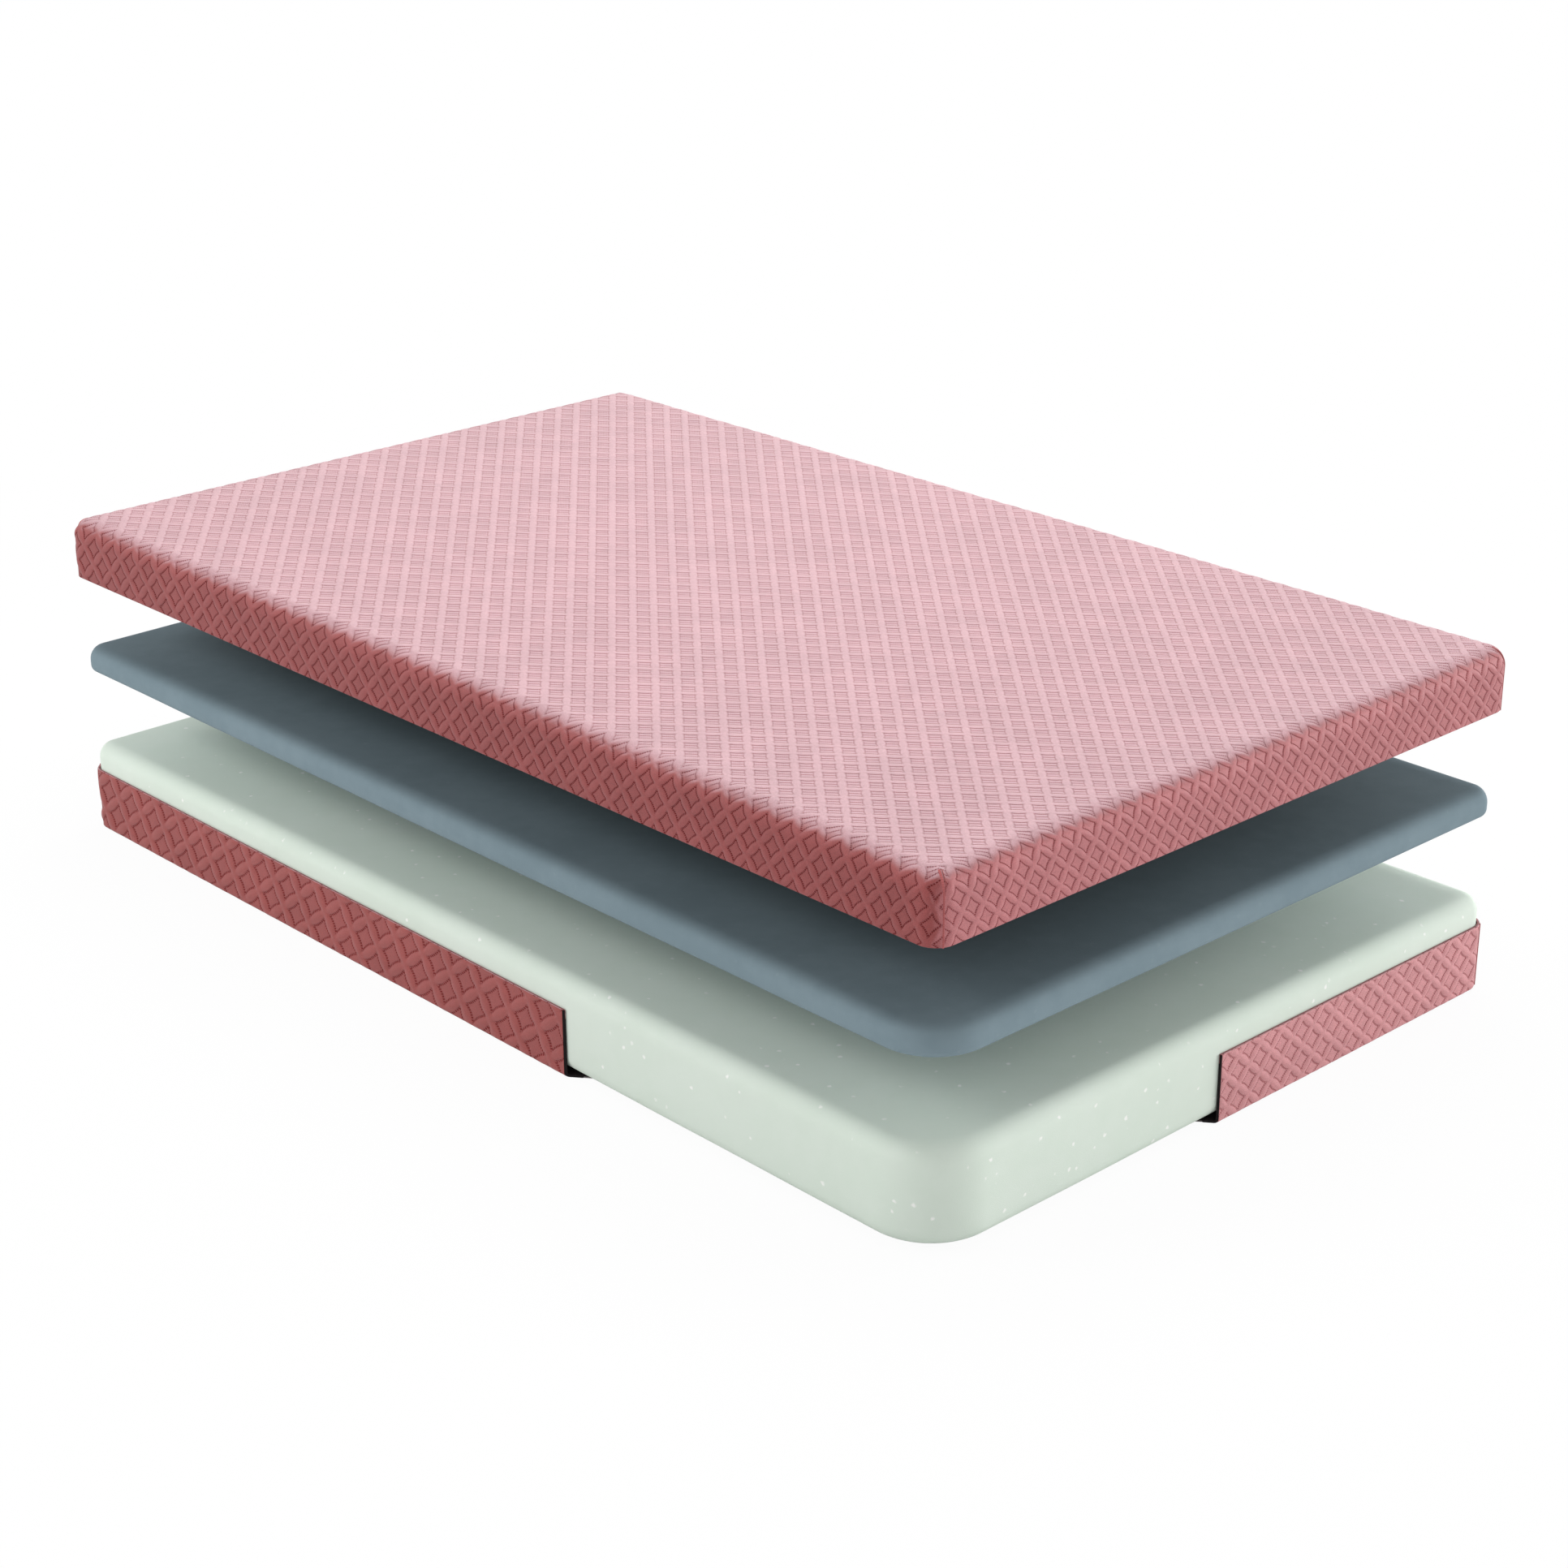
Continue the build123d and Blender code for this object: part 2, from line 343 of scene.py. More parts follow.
@dataclass
class SoftDraft:
    """Points and faces of a soft piece, gathered before its mesh is made.

    lattices has the lattice of each wall's cloth, and by_wall says that each wall is a cloth of its own
    and not one flap of a single cloth. drift is how far the pattern goes along and out for each metre
    down a wall. Each group of faces has its corners, their places on the flat cloth, the same in steps
    of the lattice, material numbers and its page, which is the cloth of the atlas that it lies on.
    """

    UNDERSIDE_PAGE = 9
    INNER_PAGE = 10
    CAP_PAGE = 20
    INNER_SCALE = 0.2
    ATLAS_MARGIN = 0.004

    lattices: dict[Wall, Lattice]
    by_wall: bool = False
    drift: dict[Wall, Pair] = field(default_factory=lambda: dict.fromkeys(WALLS, (0.0, 1.0)))
    points: list[np.ndarray] = field(default_factory=list)
    count: int = 0
    faces: list[tuple[np.ndarray, np.ndarray, np.ndarray, np.ndarray, int]] = field(default_factory=list)

    def add_points(self, points: np.ndarray) -> np.ndarray:
        """Adds points.

        Args:
            points: The points, with three numbers on the last axis.

        Returns:
            Their numbers, in the same order.
        """
        self.points.append(points.reshape(-1, 3))
        first, self.count = self.count, self.count + points.size // 3
        return np.arange(first, self.count).reshape(points.shape[:-1])

    def add_faces(
        self, corners: np.ndarray, places: np.ndarray, steps: np.ndarray, finish: np.ndarray | int, page: int
    ) -> None:
        """Adds faces with the same number of corners.

        Args:
            corners: Numbers of their points, one row for each face.
            places: Places of the corners on the flat cloth.
            steps: The same in steps of the lattice.
            finish: Number of the material, of each face or of all.
            page: Which cloth of the atlas they lie on.
        """
        number = np.broadcast_to(np.asarray(finish), (len(corners),))
        self.faces.append((corners, places, steps, number, page))

    def chart(self, wall: Wall, half: Pair, along: np.ndarray, run: np.ndarray) -> np.ndarray:
        """Lays places on a wall's cloth out flat.

        Args:
            wall: The wall.
            half: Half the inner rectangle's length and width.
            along: Places along the wall, one for each row and column.
            run: Lengths along the section, one for each row.

        Returns:
            Places on the flat cloth, with two numbers on the last axis.
        """
        down = np.broadcast_to(run[:, None], along.shape)
        if self.by_wall:
            return np.stack([along, -down], -1)
        reach, _ = wall.turned(half)
        aside, away = self.drift[wall]
        out = (reach + away * down)[..., None] * wall.out
        return out + (along + aside * down)[..., None] * wall.along

    def table(
        self, half: Pair, steps: tuple[int, int], height: float, up: bool = True, finish: int = 0,
        share: float = 1.0,
    ) -> np.ndarray:
        """Adds a flat rectangle of cloth.

        Args:
            half: Half its length and width.
            steps: Faces along and across.
            height: Where it lies.
            up: Whether it faces up.
            finish: Number of its material.
            share: Share of the lattice's height on it.

        Returns:
            The numbers of its points, along and across.
        """
        lattice = self.lattices[Wall.FRONT]
        lines = [np.linspace(-h, h, n + 1) for h, n in zip(half, steps)]
        place = np.stack(np.meshgrid(*lines, indexing="ij"), -1)
        level = np.full(place.shape[:2], height)
        if up:
            level = level + share * lattice.relief(place)
        numbers = self.add_points(np.concatenate([place, level[..., None]], -1))
        ring = [(0, 0), (1, 0), (1, 1), (0, 1)] if up else [(0, 0), (0, 1), (1, 1), (1, 0)]
        pick = [(slice(i, i + steps[0]), slice(j, j + steps[1])) for i, j in ring]
        corners = np.stack([numbers[p] for p in pick], -1).reshape(-1, 4)
        places = np.stack([place[p] for p in pick], -2).reshape(-1, 4, 2)
        self.add_faces(corners, places, lattice.steps(places), finish, 0 if up else self.UNDERSIDE_PAGE)
        return numbers

    @staticmethod
    def rim(numbers: np.ndarray, half: Pair, feet: np.ndarray) -> np.ndarray:
        """Numbers of a table's points at places on its edge."""
        at = np.round((feet / half + 1) / 2 * (np.array(numbers.shape) - 1)).astype(int)
        return numbers[at[:, 0], at[:, 1]]

    def lift(self, columns: Columns, reach: np.ndarray, run: np.ndarray) -> np.ndarray:
        """Height of the lattice over a swept section, which fades at corner seams and open ends.

        Args:
            columns: Where the cloth goes.
            reach: Distance out from the foot, one for each row.
            run: Length along the section, one for each row.

        Returns:
            A height for each row and column.
        """
        lift = np.zeros((len(reach), len(columns.foot)))
        for number, wall in enumerate(WALLS):
            mine = np.flatnonzero(columns.wall == number)
            places = self.chart(wall, columns.half, columns.along(wall, reach, mine), run)
            lift[:, mine] = self.lattices[wall].relief(places)
        from_seam = np.outer(np.abs(reach), np.radians(columns.seam))
        rise = np.clip((from_seam - SEAM_FADE[0]) / (SEAM_FADE[1] - SEAM_FADE[0]), 0, 1)
        if not columns.closed:
            rise = rise * columns.end_fade(SEAM_FADE[1])
        return lift * rise

    def sweep(
        self,
        columns: Columns,
        section: Section,
        first_row: np.ndarray | None = None,
        last_row: np.ndarray | None = None,
        ring: bool = False,
        warp: Warp | None = None,
        cap_finish: int | None = None,
    ) -> None:
        """Carries a section round the columns.

        Args:
            columns: Where the cloth goes.
            section: Its outline cut through.
            first_row: Numbers of points already there that stand for the first row.
            last_row: The same for the last row.
            ring: Whether the last row is the first one again.
            warp: Moves the points before they are added.
            cap_finish: Number of the material on the two ends of open columns.
        """
        reach, height, facing, run, share, finish = np.array(section.rows).T
        ahead = np.radians(columns.bearing)
        out = np.stack([np.cos(ahead), np.sin(ahead)], -1)
        count = len(columns.foot)
        flat = columns.foot + reach[:, None, None] * out
        level = np.broadcast_to(height[:, None, None], (len(reach), count, 1))
        aside = np.cos(facing)[:, None, None] * out
        above = np.broadcast_to(np.sin(facing)[:, None, None], level.shape)
        lift = self.lift(columns, reach, run) * share[:, None]
        points = np.concatenate([flat, level], -1) + np.concatenate([aside, above], -1) * lift[..., None]
        if warp is not None:
            points = warp(points)
        skip_first = int(first_row is not None)
        skip_last = int(last_row is not None or ring)
        rows = [self.add_points(points[skip_first : len(reach) - skip_last])]
        if first_row is not None:
            rows.insert(0, first_row[None])
        if last_row is not None:
            rows.append(last_row[None])
        if ring:
            rows.append(rows[0][:1])
        numbers = np.concatenate(rows)
        left = np.arange(count if columns.closed else count - 1)
        for number, wall in enumerate(WALLS):
            mine = left[columns.wall[left] == number]
            if len(mine):
                self.strips(columns, wall, mine, numbers, (reach, run, finish.astype(int)))
        if cap_finish is not None:
            self.caps(numbers[:-1] if ring else numbers, (reach, height), cap_finish)

    def strips(
        self,
        columns: Columns,
        wall: Wall,
        mine: np.ndarray,
        numbers: np.ndarray,
        rows: tuple[np.ndarray, np.ndarray, np.ndarray],
    ) -> None:
        """Adds the faces between columns of one wall's cloth.

        Args:
            columns: Where the cloth goes.
            wall: The wall.
            mine: Numbers of the columns that its strips start from.
            numbers: Numbers of the points, one row for each row of the section.
            rows: Reach, run and finish of each row.
        """
        reach, run, finish = rows
        ends = (mine, (mine + 1) % numbers.shape[1])
        here, there = (self.chart(wall, columns.half, columns.along(wall, reach, e), run) for e in ends)
        a, b = (numbers[:, e] for e in ends)
        corners = np.stack([a[:-1], a[1:], b[1:], b[:-1]], -1).reshape(-1, 4)
        places = np.stack([here[:-1], here[1:], there[1:], there[:-1]], -2).reshape(-1, 4, 2)
        band = np.repeat(finish[1:], len(mine))
        steps = self.lattices[wall].steps(places)
        top_point = corners[:, 0] == corners[:, 3]
        end_point = corners[:, 1] == corners[:, 2]
        kinds = (
            (~top_point & ~end_point, [0, 1, 2, 3]),
            (top_point & ~end_point, [0, 1, 2]),
            (end_point & ~top_point, [0, 1, 3]),
        )
        for inner in (False, True):
            page = (WALLS.index(wall) if self.by_wall else 0) + self.INNER_PAGE * inner
            for which, kept in kinds:
                use = which & ((band > 0) == inner)
                if use.any():
                    chosen = (x[use][:, kept] for x in (corners, places, steps))
                    self.add_faces(*chosen, band[use], page)

    def caps(self, numbers: np.ndarray, outline: tuple[np.ndarray, np.ndarray], finish: int) -> None:
        """Closes the two ends of open columns.

        Args:
            numbers: Numbers of the points, one row for each row of the section.
            outline: Reach and height of each row.
            finish: Number of the material on the ends.
        """
        place = np.stack(outline, -1)[: len(numbers)]
        for corners, spots in ((numbers[::-1, 0], place[::-1]), (numbers[:, -1], place)):
            self.add_faces(corners[None], spots[None], spots[None], finish, self.CAP_PAGE)

    def atlas(self) -> list[np.ndarray]:
        """Lays the flat cloths out one above the other in a unit square.

        Returns:
            The places of each group of faces in the square.
        """
        boxes, small = {}, {}
        for _, places, _, _, page in self.faces:
            low, high = places.min((0, 1)), places.max((0, 1))
            if page in boxes:
                low, high = np.minimum(low, boxes[page][0]), np.maximum(high, boxes[page][1])
            boxes[page] = (low, high)
            inner = self.INNER_PAGE <= page < self.CAP_PAGE
            small[page] = self.INNER_SCALE if inner and not self.by_wall else 1.0
        spans = np.array([small[page] * (high - low) for page, (low, high) in boxes.items()])
        scale = (1 - self.ATLAS_MARGIN * (len(boxes) + 1)) / max(spans[:, 0].max(), spans[:, 1].sum())
        base, level = {}, self.ATLAS_MARGIN
        for page, span in zip(boxes, spans):
            base[page] = level
            level += scale * span[1] + self.ATLAS_MARGIN
        laid = []
        for _, places, _, _, page in self.faces:
            moved = (places - boxes[page][0]) * scale * small[page]
            laid.append(moved + np.array([self.ATLAS_MARGIN, base[page]]))
        return laid

    def make(self, name: str, materials: list[Material]) -> Piece:
        """Makes the mesh and its object, which sits at the origin.

        Args:
            name: The piece's name.
            materials: Its materials, in the order of the faces' numbers.

        Returns:
            The object.
        """
        mesh = bpy.data.meshes.new(name)
        points = np.concatenate(self.points)
        mesh.vertices.add(len(points))
        mesh.vertices.foreach_set("co", points.astype(np.float32).ravel())
        corners = np.concatenate([f[0].ravel() for f in self.faces])
        mesh.loops.add(len(corners))
        mesh.loops.foreach_set("vertex_index", corners.astype(np.int32))
        sizes = np.concatenate([np.full(len(f[0]), f[0].shape[1]) for f in self.faces])
        mesh.polygons.add(len(sizes))
        starts = np.concatenate([[0], np.cumsum(sizes)[:-1]])
        mesh.polygons.foreach_set("loop_start", starts.astype(np.int32))
        numbers = np.concatenate([f[3] for f in self.faces])
        mesh.polygons.foreach_set("material_index", numbers.astype(np.int32))
        mesh.polygons.foreach_set("use_smooth", sizes <= 4)
        mesh.update(calc_edges=True)
        maps = {LATTICE_MAP: [f[2] for f in self.faces], ATLAS_MAP: self.atlas()}
        for title, groups in maps.items():
            layer = mesh.uv_layers.new(name=title, do_init=False)
            spots = np.concatenate([g.reshape(-1, 2) for g in groups])
            layer.uv.foreach_set("vector", spots.astype(np.float32).ravel())
        mesh.validate()
        for material in materials:
            mesh.materials.append(material)
        piece = bpy.data.objects.new(name, mesh)
        bpy.context.scene.collection.objects.link(piece)
        return piece


@dataclass
class Graph:
    """Adds and wires shader nodes in the node tree of a material, a world or a group."""

    tree: bpy.types.NodeTree

    def add(self, kind: str, inputs: dict | None = None, **settings: object) -> bpy.types.Node:
        """Adds a node.

        Args:
            kind: The node's type.
            inputs: Values or sockets for its inputs, by name or number.
            settings: Its own properties.

        Returns:
            The node.
        """
        node = self.tree.nodes.new(kind)
        for name, value in settings.items():
            setattr(node, name, value)
        for name, value in (inputs or {}).items():
            self.feed(node.inputs[name], value)
        return node

    def feed(self, socket: Socket, value: object) -> None:
        """Links a socket into an input, or sets the input's value.

        Args:
            socket: The input.
            value: A socket or a value.
        """
        if isinstance(value, Socket):
            self.tree.links.new(value, socket)
        else:
            socket.default_value = value

    def math(self, operation: str, *values: object) -> Socket:
        """Adds a Math node and returns its value."""
        return self.add("ShaderNodeMath", dict(enumerate(values)), operation=operation).outputs[0]

    def blend(self, share: object, first: object, second: object, mode: str = "MIX") -> Socket:
        """Mixes two colours by a share and returns the colour."""
        inputs = {0: share, 6: first, 7: second}
        return self.add("ShaderNodeMix", inputs, data_type="RGBA", blend_type=mode).outputs[2]

    def choose(self, share: object, first: object, second: object) -> Socket:
        """Goes from a first value to a second one by a share and returns the value."""
        return self.add("ShaderNodeMix", {0: share, 2: first, 3: second}, data_type="FLOAT").outputs[0]

    def between(self, value: object, low: float, high: float) -> Socket:
        """Maps a value from low to high smoothly onto 0 to 1, clamped, and returns it."""
        inputs = {"Value": value, "From Min": low, "From Max": high}
        return self.add("ShaderNodeMapRange", inputs, interpolation_type="SMOOTHSTEP").outputs[0]

    def scaled(self, value: object, low: float, high: float) -> Socket:
        """Maps a value from 0 to 1 onto low to high and returns it."""
        return self.math("MULTIPLY_ADD", value, high - low, low)

    def split(self, vector: object) -> Outputs:
        """The three parts of a vector."""
        return self.add("ShaderNodeSeparateXYZ", {0: vector}).outputs

    def from_whole(self, value: object) -> Socket:
        """How far a value lies from the nearest whole number, with its sign."""
        return self.math("SUBTRACT", value, self.math("ROUND", value))

    def distance(self, value: object, mark: float) -> Socket:
        """How far a value lies from a mark."""
        return self.math("ABSOLUTE", self.math("SUBTRACT", value, mark))

    def noise(self, vector: object, scale: object, detail: float) -> Socket:
        """Adds a Noise Texture and returns its value."""
        inputs = {"Vector": vector, "Scale": scale, "Detail": detail}
        return self.add("ShaderNodeTexNoise", inputs).outputs[0]

    def bump(self, height: Socket, strength: float, distance: float) -> Socket:
        """Turns heights into a normal and returns it."""
        inputs = {"Height": height, "Strength": strength, "Distance": distance}
        return self.add("ShaderNodeBump", inputs).outputs[0]

    def coordinates(self) -> Outputs:
        """The piece's own coordinates and its normal."""
        return self.add("ShaderNodeTexCoord").outputs

    def pattern(self) -> Socket:
        """Places on the flat cloth, from the map that a piece carries."""
        return self.add("ShaderNodeUVMap", uv_map=LATTICE_MAP).outputs[0]

    def group(self, name: str, inputs: dict) -> Outputs:
        """Places a node group with its own values and returns its outputs."""
        return self.add("ShaderNodeGroup", inputs, node_tree=bpy.data.node_groups[name]).outputs


class SharedEffects:
    """Node groups that more than one finish uses."""

    LATTICE = "lattice_marks"
    MOTTLE = "soft_mottle"
    TWILL = "twill_threads"
    PORES = "foam_pores"

    # Marks of the lattice, in its steps; a pair goes from where a mark ends to where it is full.
    LINE_RISE = 0.006
    LINE_WIDTH = (0.09, 0.0)
    STITCH_PITCH = 0.0875
    STITCH_SLANT = 4.0
    STITCH_WIDTH = (0.40, 0.20)
    STITCH_REACH = (0.048, 0.024)
    STITCH_END = (0.36, 0.31)
    ROW_STITCH_WIDTH = (0.42, 0.22)
    ROW_REACH = (0.05, 0.025)
    ROW_END = (0.30, 0.25)
    UPRIGHT_TONE = 0.45

    # Tones, threads and cells.
    FINE_MOTTLE = 7.0
    FINE_SHARE = 0.3
    TONE_RANGE = (0.34, 0.66)
    YARNS_PER_RIB = 3.0
    YARN_SHARE = 0.4
    PORE_RANGE = (0.1, 0.75)
    FLECK_BEND = 160.0
    FLECK_STRAY = 0.006
    FLECK_EDGE = (0.17, 0.07)
    FLECK_CHOICE = (0.50, 0.75)

    def __init__(self) -> None:
        """Builds every group once."""
        self.build_lattice()
        self.build_mottle()
        self.build_twill()
        self.build_pores()

    @staticmethod
    def start(name: str, vector: str, values: list[str], outputs: list[str]) -> tuple[Graph, dict, dict]:
        """Starts a group.

        Args:
            name: Its name.
            vector: The name of the vector that it reads.
            values: The names of the values that it reads.
            outputs: The names of its outputs, all values.

        Returns:
            The group's graph, its input sockets by name and its output sockets by name.
        """
        tree = bpy.data.node_groups.new(name, "ShaderNodeTree")
        tree.interface.new_socket(vector, in_out="INPUT", socket_type="NodeSocketVector")
        for title in values:
            tree.interface.new_socket(title, in_out="INPUT", socket_type="NodeSocketFloat")
        for title in outputs:
            tree.interface.new_socket(title, in_out="OUTPUT", socket_type="NodeSocketFloat")
        graph = Graph(tree)
        entry, end = graph.add("NodeGroupInput"), graph.add("NodeGroupOutput")
        return graph, {s.name: s for s in entry.outputs}, {s.name: s for s in end.inputs}

    def stitches(self, graph: Graph, along: Socket, across: Socket, width: Pair) -> Socket:
        """Short slanted stitches along a line.

        Args:
            graph: The group's graph.
            along: Place along the line, in steps of the lattice.
            across: Place across it.
            width: Half a stitch's width with and without its soft edge, as shares of the pitch.

        Returns:
            1 on a stitch and 0 between stitches.
        """
        straight = graph.math("DIVIDE", along, self.STITCH_PITCH)
        count = graph.math("MULTIPLY_ADD", across, self.STITCH_SLANT, straight)
        beside = graph.math("ABSOLUTE", graph.from_whole(count))
        return graph.between(beside, *width)

    def build_lattice(self) -> None:
        """Bands, the line round each hollow, the stitches across it, and a row through each hollow."""
        outputs = ["Band", "Line", "Stitch", "Rows"]
        graph, entry, end = self.start(self.LATTICE, "Steps", [], outputs)
        steps = graph.split(entry["Steps"])
        signed = [graph.from_whole(steps[axis]) for axis in (0, 1)]
        off = [graph.math("ABSOLUTE", value) for value in signed]
        edges = []
        for mine, other in ((0, 1), (1, 0)):
            share = graph.math("MINIMUM", graph.math("DIVIDE", off[other], HOLLOW_TIP), 1.0)
            square = graph.math("POWER", share, 2.0)
            bowed = graph.math("MULTIPLY_ADD", square, -HOLLOW_BOW, HOLLOW_BOW - HOLLOW_TIP)
            edges.append(graph.math("ADD", off[mine], bowed))
        rise = graph.math("MAXIMUM", *edges)
        upright = graph.math("GREATER_THAN", *edges)
        along = graph.choose(upright, *signed)
        from_line = graph.distance(rise, self.LINE_RISE)
        stitch = self.stitches(graph, along, rise, self.STITCH_WIDTH)
        stitch = graph.math("MULTIPLY", stitch, graph.between(from_line, *self.STITCH_REACH))
        inside = graph.between(graph.math("ABSOLUTE", along), *self.STITCH_END)
        stitch = graph.math("MULTIPLY", stitch, inside)
        row = self.stitches(graph, *signed, self.ROW_STITCH_WIDTH)
        row = graph.math("MULTIPLY", row, graph.between(off[1], *self.ROW_REACH))
        row = graph.math("MULTIPLY", row, graph.between(off[0], *self.ROW_END))
        faded = graph.math("MULTIPLY", stitch, graph.scaled(upright, 1.0, self.UPRIGHT_TONE))
        graph.feed(end["Band"], graph.between(rise, 0.0, CROWN_START))
        graph.feed(end["Line"], graph.between(from_line, *self.LINE_WIDTH))
        graph.feed(end["Stitch"], stitch)
        graph.feed(end["Rows"], graph.math("MAXIMUM", row, faded))

    def build_mottle(self) -> None:
        """Slow uneven tone from about 0 to 1."""
        graph, entry, end = self.start(self.MOTTLE, "Vector", ["Scale"], ["Tone"])
        finer = graph.math("MULTIPLY", entry["Scale"], self.FINE_MOTTLE)
        wide = graph.noise(entry["Vector"], entry["Scale"], detail=3.0)
        fine = graph.noise(entry["Vector"], finer, detail=2.0)
        mixed = graph.choose(self.FINE_SHARE, wide, fine)
        graph.feed(end["Tone"], graph.between(mixed, *self.TONE_RANGE))

    def build_twill(self) -> None:
        """Slanted ribs of a plain cloth, crossed by its yarns."""
        graph, entry, end = self.start(self.TWILL, "Vector", ["Threads"], ["Rib"])
        parts = graph.split(entry["Vector"])
        slant = graph.math("ADD", graph.math("ADD", parts[0], parts[1]), parts[2])
        cross = graph.math("ADD", graph.math("SUBTRACT", parts[0], parts[1]), parts[2])
        pace = graph.math("MULTIPLY", entry["Threads"], math.tau)
        finer = graph.math("MULTIPLY", pace, self.YARNS_PER_RIB)
        rib = graph.math("SINE", graph.math("MULTIPLY", slant, pace))
        yarn = graph.math("SINE", graph.math("MULTIPLY", cross, finer))
        mixed = graph.math("MULTIPLY_ADD", yarn, self.YARN_SHARE, rib)
        most = 1 + self.YARN_SHARE
        graph.feed(end["Rib"], graph.math("MULTIPLY_ADD", mixed, 0.5 / most, 0.5))

    def build_pores(self) -> None:
        """Small open cells of cut foam, and scattered pale flecks."""
        graph, entry, end = self.start(self.PORES, "Vector", ["Cells", "Flecks"], ["Pore", "Fleck"])
        spot = entry["Vector"]
        cells = graph.add("ShaderNodeTexVoronoi", {"Vector": spot, "Scale": entry["Cells"]}).outputs
        bent = graph.add("ShaderNodeTexNoise", {"Vector": spot, "Scale": self.FLECK_BEND}).outputs["Color"]
        stray = graph.add("ShaderNodeVectorMath", {0: bent, 3: self.FLECK_STRAY}, operation="SCALE")
        moved = graph.add("ShaderNodeVectorMath", {0: spot, 1: stray.outputs[0]}, operation="ADD").outputs[0]
        specks = graph.add("ShaderNodeTexVoronoi", {"Vector": moved, "Scale": entry["Flecks"]}).outputs
        tint = graph.add("ShaderNodeSeparateColor", {0: specks["Color"]}).outputs[0]
        near = graph.between(specks["Distance"], *self.FLECK_EDGE)
        chosen = graph.between(tint, *self.FLECK_CHOICE)
        graph.feed(end["Pore"], graph.between(cells["Distance"], *self.PORE_RANGE))
        graph.feed(end["Fleck"], graph.math("MULTIPLY", near, chosen))


def opaque(colour: Colour) -> tuple[float, float, float, float]:
    """The colour with full opacity, as a socket wants it."""
    return (*colour, 1.0)


def dimmed(colour: Colour, share: float) -> tuple[float, float, float, float]:
    """A share of the colour's light, with full opacity."""
    return opaque(tuple(share * part for part in colour))


@dataclass(frozen=True)
class Finish:
    """A material with a Principled shader, whose inputs each kind of finish gives."""

    name: str

    def inputs(self, graph: Graph) -> dict[str, object]:
        """Values and sockets for the shader's inputs, by name."""
        raise NotImplementedError

    def surface(self, graph: Graph, shader: Socket) -> Socket:
        """What the material shows, which is the shader alone unless a finish adds to it."""
        return shader

    def material(self) -> Material:
        """Builds the material.

        Returns:
            The material.
        """
        material = bpy.data.materials.new(self.name)
        material.use_nodes = True
        material.node_tree.nodes.clear()
        graph = Graph(material.node_tree)
        shader = graph.add("ShaderNodeBsdfPrincipled", self.inputs(graph)).outputs[0]
        graph.add("ShaderNodeOutputMaterial", {"Surface": self.surface(graph, shader)})
        return material


